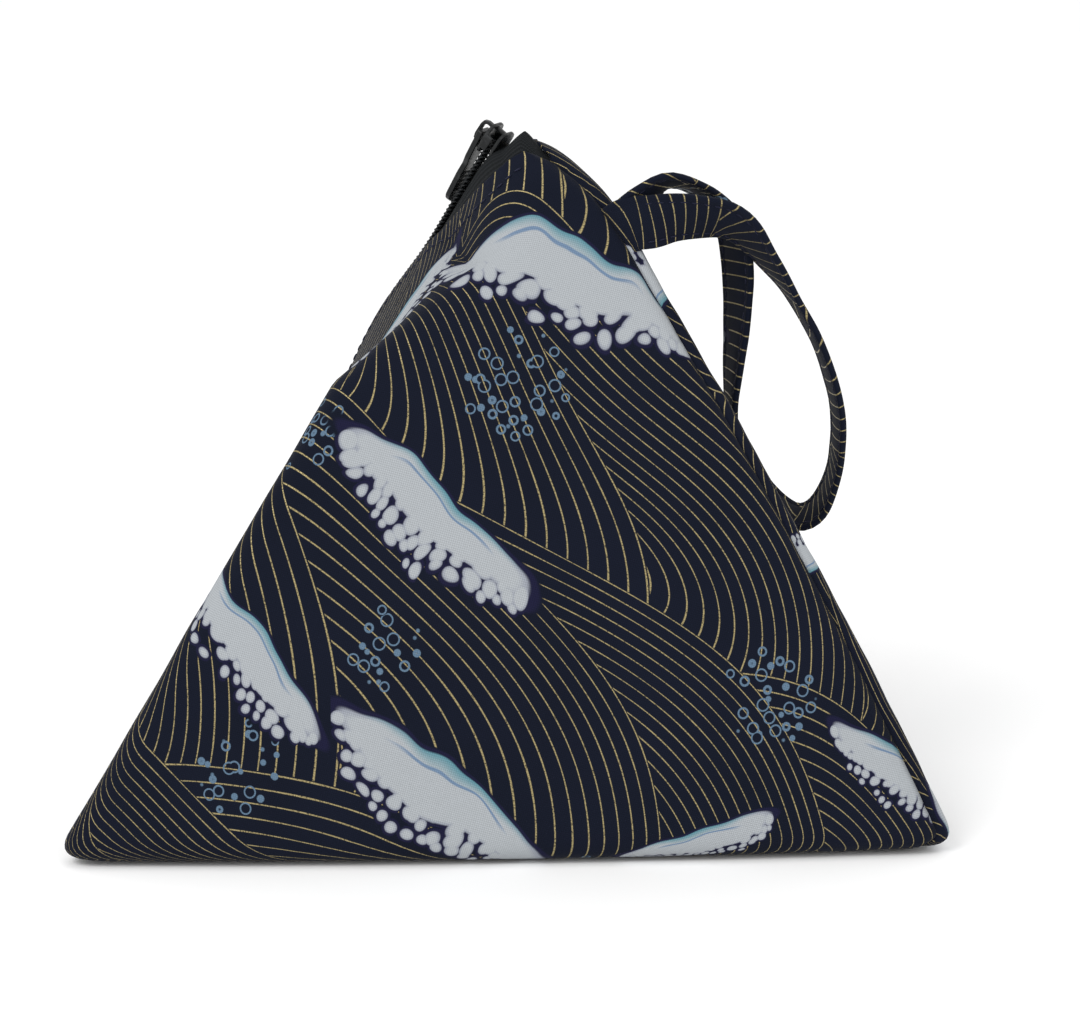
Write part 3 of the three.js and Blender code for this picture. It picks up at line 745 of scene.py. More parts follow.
def rumple(bm):  # soft dents, gathers along the sewn seam, and the seam's groove
    points = np.array([v.co for v in bm.verts])
    normals = np.array([v.normal for v in bm.verts])
    local = points - zipFoot
    offSeam = local @ seamNormal
    along = (points - apex) @ seamAlong
    ridge = np.clip((points - centre) @ ridgeOut / wall["ridgeReach"], 0, 1)
    grounded = np.clip((points[:, 2] - wall["footFlat"]) / wall["footReach"], 0, 1)
    offZip = np.maximum(np.abs(local @ zipAcross) - wall["zipCalm"], 0) / wall["zipCalm"]
    loose = grounded * (1 - np.exp(-offZip ** 2) * (local @ zipOut > -wall["zipDeep"]))
    for i, vert in enumerate(bm.verts):
        p = Vector(points[i])
        move = wall["rumple"] * noise.noise(p / wall["rumpleScale"] + Vector(wall["rumpleStart"]))
        move += wall["fineRumple"] * noise.noise(p / wall["fineScale"])
        move *= loose[i]
        s = offSeam[i]
        row = wall["puckerRows"][0 if s > 0 else 1]
        gather = noise.noise(Vector((along[i] / wall["puckerStep"], row, 0.0)))
        move += ridge[i] * wall["pucker"] * gather * math.exp(-(s / wall["puckerReach"]) ** 2)
        move -= ridge[i] * wall["grooveDeep"] * math.exp(-(s / wall["grooveWide"]) ** 2)
        vert.co = p + Vector(normals[i]) * move


def cutAt(bm, faces, point, normal):
    edges = {e for f in faces for e in f.edges}
    verts = {v for f in faces for v in f.verts}
    geom = [*verts, *edges, *faces]
    bmesh.ops.bisect_plane(bm, geom=geom, dist=wall["cutSlack"], plane_co=point, plane_no=normal)


def cutNear(bm, near, point, normal):
    cutAt(bm, [f for f, chosen in zip(bm.faces, near) if chosen], point, normal)


def middlesOf(bm):
    return np.array([f.calc_center_median() for f in bm.faces])


def cutMouth(bm):  # along the creases and the cloth's edges, across the mouth, and over the top
    side = bm.faces.layers.int["side"]
    foot, high = zipForm["creaseFoot"] * zipAcross, zipForm["creaseTop"] * zipUp
    edge = zipForm["clothEdge"] * zipAcross
    cuts = [(zipFoot + high, unit(np.cross(high - sign * foot, zipOut))) for sign in (1, -1)]
    cuts += [(zipFoot + sign * edge, zipAcross) for sign in (1, -1)]
    cuts += [(zipFoot + zipForm[up] * zipUp, zipUp) for up in ("mouthBottom", "mouthSplit", "mouthTop")]
    for point, normal in cuts:
        middles = middlesOf(bm)
        shallow = (middles - zipFoot) @ zipOut > -wall["cutDeep"]
        onSide = np.array([f[side] == zipSideTag for f in bm.faces])
        cutNear(bm, shallow & (onSide | (middles[:, 2] > wall["cutTop"])), point, normal)
    ways, slack = edgePath[:, 0], wall["edgeSlack"]
    for sign in (1, -1):  # short straight cuts follow the folded edges over the top
        spots = wallAt(edgePath[:, 1] + sign * edgePath[:, 2], ways)
        for k in range(len(ways) - 1):
            a, u, o = zipLocal(middlesOf(bm))
            near = (u > zipForm["mouthTop"] - 1) & (u - o > ways[k] - slack) & (u - o < ways[k + 1] + slack)
            near &= np.abs(a - edgeMiddle(u - o)) < wall["edgeReach"]
            cutNear(bm, near, spots[k], unit(np.cross(spots[k + 1] - spots[k], spots[k] - centre)))


def nearZipper(across, up, out, margin):  # on the zipper side, and over the top
    onSide = (out > zipSurface(across, up) - wall["skinDeep"]) & (up > zipForm["mouthBottom"] - margin)
    return onSide, (up > zipForm["mouthTop"]) & (up - out < edgePath[-1, 0])


def sortFaces(bm):  # the faces of each panel, without the strip that the zipper fills
    side, half = bm.faces.layers.int["side"], bm.faces.layers.int["half"]
    flat = bm.loops.layers.uv["flat"]
    turnOver = Vector((2 * bagForm["flatWidth"], 2 * bagForm["flatLength"])) + Vector(bagForm["backShift"])
    groups = {name: [] for name in panelNames}
    across, up, out = zipLocal(middlesOf(bm))
    onSide, overTop = nearZipper(across, up, out, 0)
    onSide = onSide & (up < zipForm["mouthTop"])
    inMouth = onSide & (np.abs(across) < creaseAcross(up))
    inStrip = (overTop | onSide) & (pastEdge(across, up, out) < 0)
    for i, face in enumerate(bm.faces):
        if inStrip[i]:
            continue
        if inMouth[i]:
            name = "mouthFront" if across[i] > 0 else "mouthBack"
            groups[name + ("Lower" if up[i] < zipForm["mouthSplit"] else "Upper")].append(face)
            continue
        groups["pouchFront" if face[half] else "pouchBack"].append(face)
        if face[side] == (rightTag if face[half] else frontTag):  # a panel's edge, turned over the ridge
            for loop in face.loops:
                loop[flat].uv = turnOver * mm - loop[flat].uv
    return groups


def panelFrom(bm, faces, name):
    keep = {f.index for f in faces}
    piece = bm.copy()
    piece.faces.ensure_lookup_table()
    bmesh.ops.delete(piece, geom=[f for f in piece.faces if f.index not in keep], context="FACES")
    for vert in piece.verts:
        vert.co = vert.co * mm
    obj = newPiece(name, piece, printCotton, paleCotton)
    group = obj.vertex_groups.new(name="wall")
    across, up, out = zipLocal(np.array([v.co for v in obj.data.vertices]) / mm)
    far = np.clip(pastEdge(across, up, out) / wall["taper"], 0, 1)
    onSide, overTop = nearZipper(across, up, out, wall["taperMargin"])
    share = wall["thinEdge"] / wall["thick"]
    for i, f in enumerate(np.where(onSide | overTop, far, 1.0)):
        group.add([i], share + (1 - share) * f * f * (3 - 2 * f), "REPLACE")
    solid = thicken(obj, wall["thick"])
    solid.vertex_group = "wall"
    solid.material_offset = 1
    settle(obj)
    obj.vertex_groups.clear()
    return smooth(obj)


skin = pouchSkin()
cutMouth(skin)
groups = sortFaces(skin)
skin.faces.index_update()
panels = {name: panelFrom(skin, groups[name], name) for name in panelNames}
skin.free()

halves = (("front", "Front", 1), ("back", "Back", -1))
bottom, split, top = zipForm["mouthBottom"], zipForm["mouthSplit"], zipForm["mouthTop"]


def followMouth(piece, lower):  # bakes the piece's placement into its mesh; the start point is worked out but not used
    start = tuple(zipPlace(0.0, float(zipForm["openFrom"] if lower else top), 0.0) * mm)
    tuple(zipPlace(0.0, float(split), 0.0) * mm)
    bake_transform(piece)


def openWithMouth(lower, upper):
    followMouth(lower, True)
    followMouth(upper, False)


def hangHalf(half, node, lower, upper, fixed):  # the two lengths on the mouth get their placement baked in; the top one joins the pouch, and the model's part is hidden
    openWithMouth(lower, upper)
    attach(fixed, "pouch")
    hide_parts(node + half)


for half, word, side in halves:
    pouch, lower = panels["pouch" + word], panels[f"mouth{word}Lower"]
    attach(pouch, "pouch")
    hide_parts(f"outer_cloth_{half}", f"padding_{half}", f"lining_{half}")
    openWithMouth(lower, panels[f"mouth{word}Upper"])
    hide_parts(f"outer_cloth_flap_{half}", f"padding_flap_{half}", f"lining_flap_{half}")
print("walls sewn")


# zipper tapes: each half in a lower and an upper length on the mouth, and a fixed top
tapeForm = {
    "inner": 0.8, "outer": 13.0, "thick": 0.55, "depth": 0.95, "columns": 10, "rows": 40, "topRows": 64,
    "top": 217.0, "tuck": 3.2, "tuckDepth": 1.5, "tuckFrom": 150, "tuckReach": 15,
    "holdWide": 5, "holdEnd": 200, "holdFade": 8, "holdMost": 4,  # beside the coil it stays up under it
    "tail": 4.6, "tailWay": 205.5, "tailReach": 7.5, "tailSpread": 1.5,  # the ends stand up in a small peak
}


def tapeAcross(s):
    return tapeForm["inner"] + (tapeForm["outer"] - tapeForm["inner"]) * s[:, 0]


def onMouth(side, s, low, high):
    across = side * tapeAcross(s)
    up = low + (high - low) * s[:, 1]
    return zipPlace(across, up, overZipper(across, up) - tapeForm["depth"])


def overTheTop(side, s, low, high):
    inner, tuck, depth = tapeForm["inner"], tapeForm["tuck"], tapeForm["depth"]
    first = low - overZipper(side * tapeAcross(s), np.full(len(s), float(low)))
    along = first + (high - first) * s[:, 1]
    middle, half = edgeMiddle(along), edgeHalf(along)
    reach = half + tuck
    reach = reach + (tapeForm["outer"] - edgeHalf(first) - tuck) * (1 - s[:, 1]) ** 2
    across = middle + side * (inner * (1 - s[:, 1]) + (reach - inner) * s[:, 0])
    points = wallAt(across, along, depth)
    sunk = np.clip((along - tapeForm["tuckFrom"]) / tapeForm["tuckReach"], 0, 1)
    points = points - wallNormal(points) * (sunk * (tapeForm["tuckDepth"] - depth))[:, None]
    a, up, out = zipLocal(points)
    close = np.clip(1 - np.abs(a) / tapeForm["holdWide"], 0, 1)
    close = close * np.clip((tapeForm["holdEnd"] - along) / tapeForm["holdFade"], 0, 1)
    hold = np.clip(zipHeight(up) - depth - out, 0, tapeForm["holdMost"])
    points = points + zipOut * (hold * close)[:, None]
    peak = np.clip(1 - np.abs(along - tapeForm["tailWay"]) / tapeForm["tailReach"], 0, 1) ** 0.9
    spread = np.clip(1 - ((across - middle) / (half + tapeForm["tailSpread"])) ** 2, 0, 1)
    return points + apexAxis * (tapeForm["tail"] * peak * spread)[:, None]


def zipSheet(name, side, low, high, layer, rows):
    bm = bmesh.new()
    flatLayer = bm.loops.layers.uv.new("flat")
    bmesh.ops.create_grid(bm, x_segments=tapeForm["columns"], y_segments=rows, size=0.5)
    s = np.array([[v.co.x + 0.5, v.co.y + 0.5] for v in bm.verts])
    wide = tapeForm["outer"] - tapeForm["inner"]
    for face in bm.faces:
        for loop in face.loops:
            k = loop.vert.index
            loop[flatLayer].uv = (s[k, 0] * wide * mm, (low + (high - low) * s[k, 1]) * mm)
    for vert, point in zip(bm.verts, layer(side, s, low, high)):
        vert.co = point * mm
    if side < 0:
        bmesh.ops.reverse_faces(bm, faces=bm.faces)
    obj = newPiece(name, bm, ribbedTape)
    thicken(obj, tapeForm["thick"])
    settle(obj)
    return smooth(obj)


for half, word, side in halves:
    lowerTape = zipSheet("tapeLower" + word, side, bottom, split, onMouth, tapeForm["rows"])
    upperTape = zipSheet("tapeUpper" + word, side, split, top, onMouth, tapeForm["rows"])
    topTape = zipSheet("tapeTop" + word, side, top, tapeForm["top"], overTheTop, tapeForm["topRows"])
    hangHalf(half, "zipper_tape_", lowerTape, upperTape, topTape)
print("tapes laid")


# the nylon coil: one long spiral on each tape, the two meshing on the middle line
coilForm = {
    "pitch": 1.35, "wire": 0.33, "reach": 0.55, "outer": 2.35, "low": -0.62, "high": 0.72,
    "core": 0.3, "cores": (-0.8, 0.0, 0.8), "bottom": 14.0, "steps": 8,
}


def spiral(name, side, low, high):
    pitch, steps = coilForm["pitch"], coilForm["steps"]
    phase = np.arange(int((high - low) / pitch * steps) + 1) / steps
    up = low + phase * pitch + (pitch / 2 if side < 0 else 0)
    angle = 2 * math.pi * phase
    middle = (coilForm["outer"] - coilForm["reach"]) / 2
    across = middle - (coilForm["outer"] + coilForm["reach"]) / 2 * np.cos(angle)
    lift = (coilForm["low"] + coilForm["high"]) / 2
    lift = lift + (coilForm["high"] - coilForm["low"]) / 2 * np.sin(angle)
    ways = [zipPlace(side * across, up, zipHeight(up) + lift) * mm]
    for offset in coilForm["cores"]:  # the cord inside the coil
        core = zipPlace(side * (middle + offset), up, zipHeight(up) + coilForm["core"]) * mm
        ways.append(core[::steps])
    curve = bpy.data.curves.new(name, "CURVE")
    curve.dimensions = "3D"
    curve.bevel_depth = coilForm["wire"] * mm
    curve.bevel_resolution = 1
    curve.use_fill_caps = True
    for way in ways:
        path = curve.splines.new("POLY")
        path.points.add(len(way) - 1)
        for spot, point in zip(path.points, way):
            spot.co = (*point, 1)
    drawn = addObject(name + "Curve", curve)
    mesh = bpy.data.meshes.new_from_object(drawn.evaluated_get(bpy.context.evaluated_depsgraph_get()))
    bpy.data.objects.remove(drawn)
    bpy.data.curves.remove(curve)
    mesh.name = name
    mesh.materials.clear()
    mesh.materials.append(blackNylon)
    obj = addObject(name, mesh)
    return smooth(obj)


for half, word, side in halves:
    lowerCoil = spiral("coilLower" + word, side, coilForm["bottom"], split)
    upperCoil = spiral("coilUpper" + word, side, split, top)
    topCoil = spiral("coilTop" + word, side, top, zipForm["sliderUp"] - 1)
    hangHalf(half, "zipper_coil_", lowerCoil, upperCoil, topCoil)
print("coils wound")


# rows of stitches, each a small plump bead of thread: length, width, height
topstitch = {
    "inset": 2.6, "bead": (2.5, 0.6, 0.55), "end": 209.0, "spots": 120, "lean": 0.35, "lift": 0.1,
    "spacing": 1.28, "ahead": 0.4,  # shares of a bead's length
}


def stitchRow(name, points, normals, bead):
    bm = bmesh.new()
    ways = wayAlong(points)
    step = bead[0] * topstitch["spacing"]
    size = Matrix.Diagonal([*(part / 2 * mm for part in bead), 1])
    for k in range(int(ways[-1] / step)):
        middle = (k + 0.5) * step
        spot, lift = valueAt(middle, ways, points), valueAt(middle, ways, normals)
        x = unit(valueAt(middle + topstitch["ahead"] * bead[0], ways, points) - spot)
        z = unit(lift - x * (lift @ x))
        place = axesMatrix(x, np.cross(z, x), z, spot * mm)
        bmesh.ops.create_uvsphere(bm, u_segments=6, v_segments=4, radius=1, matrix=place @ size)
    obj = newPiece(name, bm, navyThread)
    return smooth(obj)


def mouthStitches(name, side, low, high):
    up = np.linspace(low, high, topstitch["spots"])
    across = np.full(len(up), side * (zipForm["clothEdge"] + topstitch["inset"]))
    points = zipPlace(across, up, overZipper(across, up))
    normals = np.tile(zipOut, (len(up), 1)) + side * zipAcross * topstitch["lean"]
    return stitchRow(name, points + normals * topstitch["lift"], normals, topstitch["bead"])


def topStitches(name, side):
    start = np.array([float(top)])
    beside = np.array([side * (zipForm["clothEdge"] + topstitch["inset"])])
    along = np.linspace(start[0] - overZipper(beside, start)[0], topstitch["end"], topstitch["spots"])
    points = wallAt(edgeMiddle(along) + side * (edgeHalf(along) + topstitch["inset"]), along)
    normals = wallNormal(points)
    return stitchRow(name, points + normals * topstitch["lift"], normals, topstitch["bead"])


for half, word, side in halves:
    lowerStitch = mouthStitches("stitchLower" + word, side, bottom + 1, split)
    upperStitch = mouthStitches("stitchUpper" + word, side, split, top)
    hangHalf(half, "topstitch_", lowerStitch, upperStitch, topStitches("stitchTop" + word, side))
print("stitches sewn")


# slider, crown, tab and bottom stop, in the slider's own axes: across, up the zipper, outwards
slider = {
    "length": 9.0, "width": 7.6, "tail": 5.4, "plate": 1.0, "topLow": 1.1, "bottomHigh": -1.8,
    "post": (1.4, 1.0, 3.9), "postInset": 0.6, "postLow": -2.3, "flange": (0.8, 4.2, -0.6), "bevel": 0.28,
    "corner": (0.4, 0.8, 1.2, 1.57), "cornerShare": 0.62, "shoulder": -0.4, "tailRise": 0.7,
    "crown": (5.0, 0.9, 1.6, 2.75), "crownBevel": 0.22,
    "tab": (22.0, 5.6, 1.6), "tabBevel": 0.5, "pivot": 3.75, "tabTilt": 6,
    # the tab's side from the bar down: share of its half width, way along it
    "tabSide": [(0.86, 0.7), (1, 0.2), (1, -7.5), (0.8, -10), (1, -13)],
    "eye": (2.6, 4.1, 6), "eyeUp": -2.75,
    "rib": (0.62, 0.55, 0.5), "ribs": 5, "ribUp": -12.6, "ribStep": 1.35, "ribLift": 0.02,
    "stop": (4.8, 2.4, 1.5), "stopUp": 12.45, "stopLow": -0.62, "stopBevel": 0.35, "sharpFrom": 30,
}
sliderUp = zipForm["sliderUp"]
sliderTilt = -math.asin((sliderUp - zipForm["span"] / 2) / arcRadius)
tiltUp = zipUp * math.cos(sliderTilt) + zipOut * math.sin(sliderTilt)
tiltOut = zipOut * math.cos(sliderTilt) - zipUp * math.sin(sliderTilt)
sliderFrame = axesMatrix(zipAcross, tiltUp, tiltOut, zipPlace(0.0, sliderUp, zipHeight(sliderUp)))


def fitIn(bm, place):  # from millimetres in a piece's own axes to the frame
    bmesh.ops.transform(bm, matrix=Matrix.Scale(mm, 4) @ place, verts=bm.verts)


def softenEdges(bm, width, segments=2):
    bmesh.ops.recalc_face_normals(bm, faces=bm.faces)
    limit = math.radians(slider["sharpFrom"])
    sharp = [e for e in bm.edges if len(e.link_faces) == 2 and e.calc_face_angle() > limit]
    bmesh.ops.bevel(
        bm, geom=sharp, offset=width, offset_type="OFFSET", affect="EDGES", segments=segments,
        profile=0.5, material=-1, clamp_overlap=True)


def raiseOutline(bm, spots, move):
    face = bm.faces.new([bm.verts.new(spot) for spot in spots])
    raised = bmesh.ops.extrude_face_region(bm, geom=[face])["geom"]
    bmesh.ops.translate(bm, vec=move, verts=[g for g in raised if isinstance(g, bmesh.types.BMVert)])


def sliderPlate(bm, z):
    half, tail, end = slider["width"] / 2, slider["tail"] / 2, slider["length"] / 2
    turn, rise = half * slider["cornerShare"], slider["tailRise"]
    spots = [(-tail * 0.8, -end), (tail * 0.8, -end), (tail, -end + rise)]
    spots += [(half, slider["shoulder"]), (half, end - turn)]
    spots += [(half - turn + turn * math.cos(a), end - turn + turn * math.sin(a)) for a in slider["corner"]]
    spots += [(-x, y) for x, y in reversed(spots[3:])]
    spots += [(-tail, -end + rise)]
    raiseOutline(bm, [(x, y, z) for x, y in spots], (0, 0, slider["plate"]))


def blockAt(bm, size, x, y, low):
    place = Matrix.Translation((x, y, low + size[2] / 2)) @ Matrix.Diagonal((*size, 1))
    bmesh.ops.create_cube(bm, size=1, matrix=place)


def makeSlider():
    bm = bmesh.new()
    sliderPlate(bm, slider["topLow"])
    sliderPlate(bm, slider["bottomHigh"] - slider["plate"])
    post = slider["post"]
    blockAt(bm, post, 0, slider["length"] / 2 - slider["postInset"] - post[1] / 2, slider["postLow"])
    thick, long, low = slider["flange"]
    for side in (-1, 1):
        size = (thick, long, slider["topLow"] + 0.5 - low)
        blockAt(bm, size, side * (slider["width"] - thick) / 2, slider["shoulder"], low)
    softenEdges(bm, slider["bevel"])
    fitIn(bm, sliderFrame)
    return newPiece("sliderBody", bm, blackEnamel)


def makeCrown():  # an arch drawn side-on, then given its width
    run, bar, wide, tall = slider["crown"]
    half, low = run / 2, slider["topLow"] + slider["plate"] - 0.05
    high = low + tall
    outer = [(-half - bar, low), (-half - bar, low + tall * 0.75)]
    outer += [(-half - bar * 0.45, high + bar * 0.55), (-half + 0.9, high + bar * 0.95)]
    inner = [(half, low), (half, low + tall * 0.72), (half - 0.7, high)]
    spots = [spot for way in (outer, inner) for spot in way + [(-y, z) for y, z in reversed(way)]]
    bm = bmesh.new()
    raiseOutline(bm, [(-wide / 2, y, z) for y, z in spots], (wide, 0, 0))
    softenEdges(bm, slider["crownBevel"])
    fitIn(bm, sliderFrame)
    return newPiece("sliderCrown", bm, blackEnamel)


def makeTab():
    long, wide, thick = slider["tab"]
    half = wide / 2
    spots = [(-half * share, y) for share, y in slider["tabSide"]] + [(-half, half - long)]
    turns = np.linspace(math.pi, 2 * math.pi, 9)[1:-1]
    ends = [(-x, y) for x, y in reversed(spots)]
    spots += [(half * math.cos(a), half - long + half * math.sin(a)) for a in turns] + ends
    bm = bmesh.new()
    raiseOutline(bm, [(x, y, -thick / 2) for x, y in spots], (0, 0, thick))
    softenEdges(bm, slider["tabBevel"], 3)
    bmesh.ops.triangulate(bm, faces=bm.faces)
    tab = newPiece("pullTab", bm, blackEnamel)
    cutter = bmesh.new()
    blockAt(cutter, slider["eye"], 0, slider["eyeUp"], -slider["eye"][2] / 2)
    softenEdges(cutter, slider["tabBevel"])
    hole = newPiece("tabEye", cutter)
    eye = tab.modifiers.new("eye", "BOOLEAN")
    eye.operation = "DIFFERENCE"
    eye.solver = "EXACT"
    eye.object = hole
    bpy.context.view_layer.update()
    settle(tab)
    bpy.data.objects.remove(hole)
    bm = bmesh.new()
    bm.from_mesh(tab.data)
    share, ribLong, ribHigh = slider["rib"]
    for k in range(slider["ribs"]):  # raised grip ribs on both faces
        for face in (-1, 1):
            low = face * (thick / 2 + slider["ribLift"]) - ribHigh / 2
            blockAt(bm, (wide * share, ribLong, ribHigh), 0, slider["ribUp"] - slider["ribStep"] * k, low)
    tilt = Matrix.Rotation(math.radians(slider["tabTilt"]), 4, "X")
    bmesh.ops.transform(bm, matrix=Matrix.Translation((0, 0, slider["pivot"])) @ tilt, verts=bm.verts)
    fitIn(bm, sliderFrame)
    bm.to_mesh(tab.data)
    bm.free()
    return tab


def makeStop():
    bm = bmesh.new()
    up = slider["stopUp"]
    blockAt(bm, slider["stop"], 0, up, slider["stopLow"] + float(zipHeight(up)))
    softenEdges(bm, slider["stopBevel"], 3)
    fitIn(bm, axesMatrix(zipAcross, zipUp, zipOut, zipFoot))
    return newPiece("bottomStop", bm, blackEnamel)


for make, node, body in (
    (makeSlider, "slider_body", "slider"), (makeCrown, "slider_crown", "slider"),
    (makeTab, "pull_tab", "tab"), (makeStop, "bottom_stop", "pouch"),
):
    piece = make()
    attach(piece, body)
    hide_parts(node)
print("slider fitted")


# the wrist strap: a strip folded in four and stitched near both edges, looped from the seam
strap = {
    "root": (38.355, -53.534, 157.223), "width": 14.5, "thick": 1.9, "steps": 150,
    # right, back, up from the root, then the direction of the strap's upper edge
    "route": [
        (-3.4, -1.5, 1.7, -0.58, 0.18, 0.79), (1.5, -2.4, 2.2, -0.36, -0.05, 0.90),
        (7.5, -2.2, 3.2, -0.1, -0.33, 0.93), (13.5, -1.6, 3.2, 0.05, -0.48, 0.86),
        (20.5, -0.8, 2.2, 0.25, -0.62, 0.74), (26, 0.4, -1.2, 0.45, -0.75, 0.48),
        (31.4, 1.8, -8, 0.38, -0.9, 0.2), (39.2, 3.6, -19.5, 0.2, -1, 0.05),
        (46.8, 5.4, -34, 0.15, -1, 0.03), (51.5, 6.8, -50, 0.12, -1, 0.05),
        (51.7, 7.3, -63, 0.12, -0.97, 0.25), (49.9, 7.6, -72, 0.16, -0.98, 0.14),
        (46.4, 8.1, -79, 0.16, -0.98, -0.07), (41.8, 8.8, -81.4, 0, -0.98, -0.2),
        (37, 9.5, -79, -0.19, -0.97, -0.16), (32.4, 10.1, -74, -0.28, -0.96, -0.04),
        (28.2, 10.5, -67.2, -0.26, -0.96, 0.1), (25.2, 10.9, -60, -0.12, -0.97, 0.2),
        (23.6, 11.5, -50.5, 0.1, -0.96, 0.26), (24.4, 12.5, -38, 0.28, -0.93, 0.25),
        (25.4, 13.4, -23.5, 0.42, -0.88, 0.24), (25.2, 13.6, -12, 0.48, -0.85, 0.24),
        (23.4, 12.6, -1.5, 0.44, -0.86, 0.28), (17.6, 9.8, 6.4, 0.2, -0.92, 0.34),
        (11, 7.2, 10.3, 0, -0.94, 0.32), (5.2, 4.4, 10.4, -0.15, -0.9, 0.42),
        (0.6, 1.6, 5.8, -0.4, -0.4, 0.78), (-2.2, 0.2, 2.2, -0.54, 0.1, 0.83),
        (-4.4, -0.2, 0.7, -0.58, 0.18, 0.79),
    ],
    # half of its upper side in section: share of the half width, share of the half thickness
    "section": [
        (-1, 0.0), (-0.985, 0.55), (-0.93, 0.88), (-0.82, 0.86), (-0.71, 0.66), (-0.60, 0.86),
        (-0.3, 1.0), (0, 1.02),
    ],
    "tuck": 5.0, "bendStart": -1.0, "bendEnd": 9.0, "flatStart": 40.0, "flatEnd": 148.0,
    "wave": 0.18, "waveLong": 9, "waveWide": 8,
    "stitchInset": 2.1, "stitchEnd": 8, "stitchLift": 0.78, "bead": (2.4, 0.5, 0.45),
}


def catmull(values, share):
    n = len(values) - 1
    k = min(int(share * n), n - 1)
    t = share * n - k
    a, b, c, d = (values[min(max(k + i, 0), n)] for i in (-1, 0, 1, 2))
    bend, twist = 2 * a - 5 * b + 4 * c - d, 3 * b - a - 3 * c + d
    return 0.5 * (2 * b + (c - a) * t + bend * t * t + twist * t ** 3)


def strapStations():  # even steps along the loop: places, upper edges, faces, ways
    route = np.array(strap["route"], float)
    places = route[:, :3] + np.array(strap["root"])
    inward = -ridgeOut * strap["tuck"]
    places = np.vstack([places[0] + inward, places, places[-1] + inward])
    edges = np.vstack([route[0, 3:], route[:, 3:], route[-1, 3:]])
    shares = np.linspace(0, 1, strap["steps"] + 1)
    spots = np.array([catmull(places, t) for t in shares])
    ups = np.array([catmull(edges, t) for t in shares])
    ways = wayAlong(spots)
    even = np.linspace(0, ways[-1], strap["steps"] + 1)
    spots, ups = valueAt(even, ways, spots), valueAt(even, ways, ups)
    along = np.gradient(spots, axis=0)
    along /= np.linalg.norm(along, axis=1)[:, None]
    ups -= along * np.sum(ups * along, axis=1)[:, None]
    ups /= np.linalg.norm(ups, axis=1)[:, None]
    return spots, ups, np.cross(along, ups), even


def strapSection():  # across and height, round the strap's edge
    upper = strap["section"] + [(-x, z) for x, z in reversed(strap["section"][:-1])]
    lower = [(x, -z) for x, z in reversed(upper[1:-1])]
    return [(x * (strap["width"] / 2), z * (strap["thick"] / 2)) for x, z in upper + lower]


def makeStrap(spots, ups, faces, even):
    ring = strapSection()
    n, steps = len(ring), strap["steps"]
    edgeWalk = np.concatenate([[0], np.cumsum([math.dist(ring[i], ring[(i + 1) % n]) for i in range(n)])])
    bm = bmesh.new()
    flatLayer = bm.loops.layers.uv.new("flat")
    bmesh.ops.create_grid(bm, x_segments=n, y_segments=steps, size=0.5)
    column = [round((v.co.x + 0.5) * n) for v in bm.verts]
    row = [round((v.co.y + 0.5) * steps) for v in bm.verts]
    first, last = strap["flatStart"], strap["flatEnd"] - even[-1]
    for face in bm.faces:
        for loop in face.loops:
            k = loop.vert.index
            loop[flatLayer].uv = ((first + edgeWalk[column[k]]) * mm, (last + even[row[k]]) * mm)
    for vert, c, r in zip(bm.verts, column, row):
        x, z = ring[c % n]
        wave = strap["wave"] * noise.noise(Vector((even[r] / strap["waveLong"], x / strap["waveWide"], 2.0)))
        vert.co = (spots[r] + ups[r] * x + faces[r] * (z + wave)) * mm
    bmesh.ops.remove_doubles(bm, verts=bm.verts, dist=1e-7)
    bmesh.ops.holes_fill(bm, edges=[e for e in bm.edges if len(e.link_faces) == 1])
    bmesh.ops.recalc_face_normals(bm, faces=bm.faces)
    return smooth(newPiece("wristStrap", bm, printCotton))


def bendAtRoot(piece):  # bakes the piece's placement into its mesh
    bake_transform(piece)


spots, ups, faces, even = strapStations()
wristStrap = makeStrap(spots, ups, faces, even)
bendAtRoot(wristStrap)
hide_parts("wrist_strap")
keep = (even > strap["stitchEnd"]) & (even < even[-1] - strap["stitchEnd"])
for word, side, node in (("Upper", 1, "strap_stitch_upper"), ("Lower", -1, "strap_stitch_lower")):
    line = ups * side * (strap["width"] / 2 - strap["stitchInset"])
    for face, turn in (("Face", 1), ("Back", -1)):
        points = spots + line + faces * turn * strap["thick"] / 2 * strap["stitchLift"]
        row = stitchRow("strapStitch" + word + face, points[keep], faces[keep] * turn, strap["bead"])
        bendAtRoot(row)
        if turn > 0:
            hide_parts(node)
print("strap sewn in")


# camera, floor and light, set up as in the photograph
shot = {
    "eye": (0, -1102.5, 369.7), "target": (0, -40, 85), "roll": -0.828, "focal": 4079.2,
    "frame": (1080, 1010), "axis": (501.1, 483.7), "sensor": 36,
    "floorSize": 4, "floorDrop": -0.0006, "lightAim": (0, -0.04, 0.08),
}


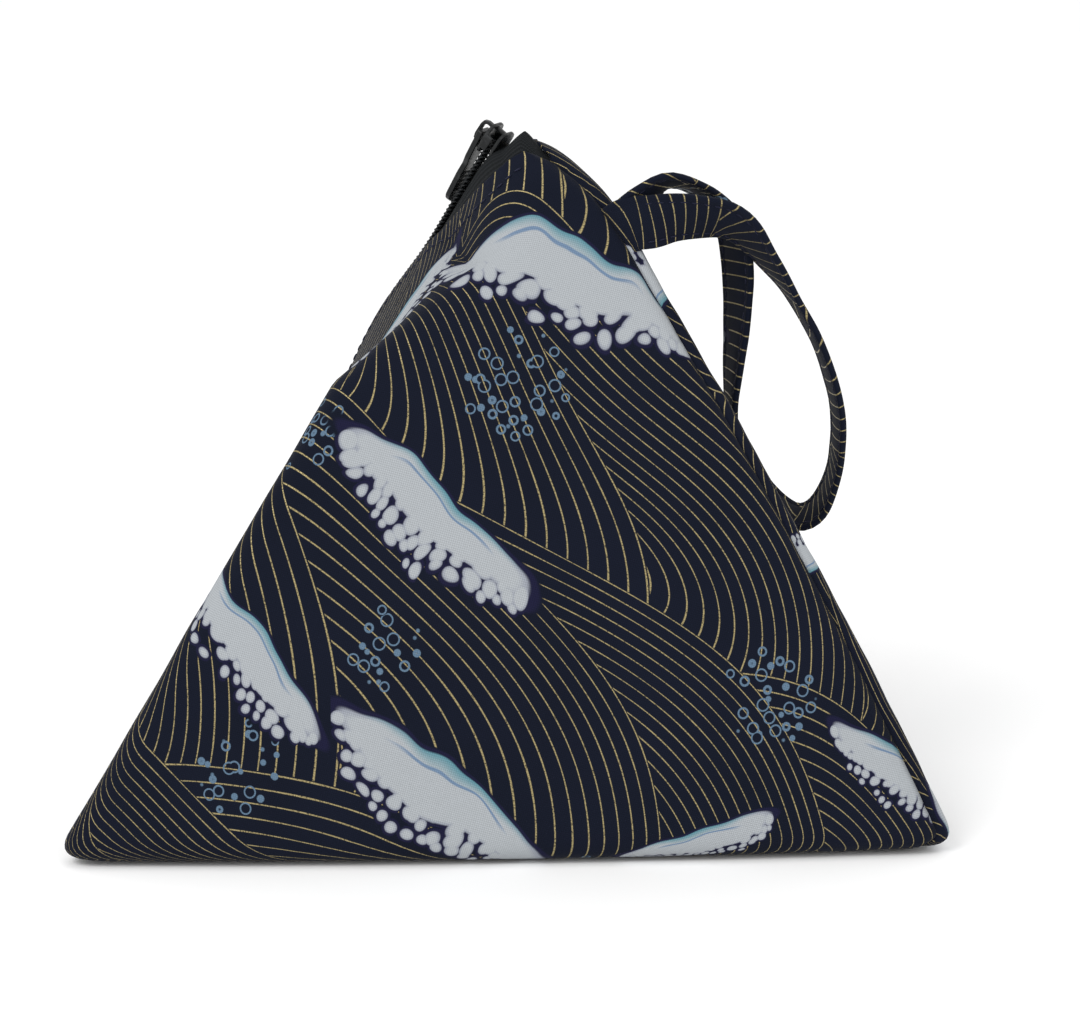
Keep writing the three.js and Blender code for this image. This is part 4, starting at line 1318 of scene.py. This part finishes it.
def placeCamera():
    eye, target = np.array(shot["eye"]), np.array(shot["target"], float)
    ahead = unit(target - eye)
    right = unit(np.cross(ahead, np.array([0.0, 0.0, 1.0])))
    up = np.cross(right, ahead)
    r = math.radians(shot["roll"])
    right, up = right * math.cos(r) + up * math.sin(r), up * math.cos(r) - right * math.sin(r)
    dx, dy = ((size / 2 - spot) / shot["focal"] for size, spot in zip(shot["frame"], shot["axis"]))
    ahead = unit(ahead + right * dx - up * dy)
    right = unit(right - ahead * (right @ ahead))
    camera = bpy.data.cameras.new("camera")
    camera.sensor_width = shot["sensor"]
    camera.lens = shot["sensor"] * shot["focal"] / shot["frame"][0]
    camera.clip_start, camera.clip_end = 0.05, 50
    obj = addObject("camera", camera)
    obj.matrix_world = axesMatrix(right, np.cross(right, ahead), -ahead, eye * mm)
    bpy.context.scene.camera = obj


def makeFloor():
    looks = {"Base Color": (0.97, 0.97, 0.97, 1), "Roughness": 0.8, "Specular IOR Level": 0.1}
    bm = bmesh.new()
    bmesh.ops.create_grid(bm, x_segments=2, y_segments=2, size=shot["floorSize"])
    bmesh.ops.translate(bm, vec=(0, 0, shot["floorDrop"]), verts=bm.verts)
    newPiece("floor", bm, dress(newMaterial("paleFloor"), looks))


def makeLight(name, place, size, power):
    lamp = bpy.data.lights.new(name, "AREA")
    lamp.shape = "DISK"
    lamp.size = size
    lamp.energy = power
    obj = addObject(name, lamp)
    obj.location = place
    obj.rotation_euler = (Vector(shot["lightAim"]) - Vector(place)).to_track_quat("-Z", "Y").to_euler()


def makeWorld():
    world = bpy.data.worlds.new("studio")
    bpy.context.scene.world = world
    world.use_nodes = True
    background = world.node_tree.nodes["Background"]
    background.inputs["Color"].default_value = (1, 1, 1, 1)
    background.inputs["Strength"].default_value = 1.0


placeCamera()
makeFloor()
makeWorld()
makeLight("keyLight", (-0.8, -0.9, 1.3), 0.8, 9)
makeLight("fillLight", (0.9, -1.1, 0.7), 1.2, 2)
bpy.context.scene.view_settings.view_transform = "Standard"
print("studio lit")
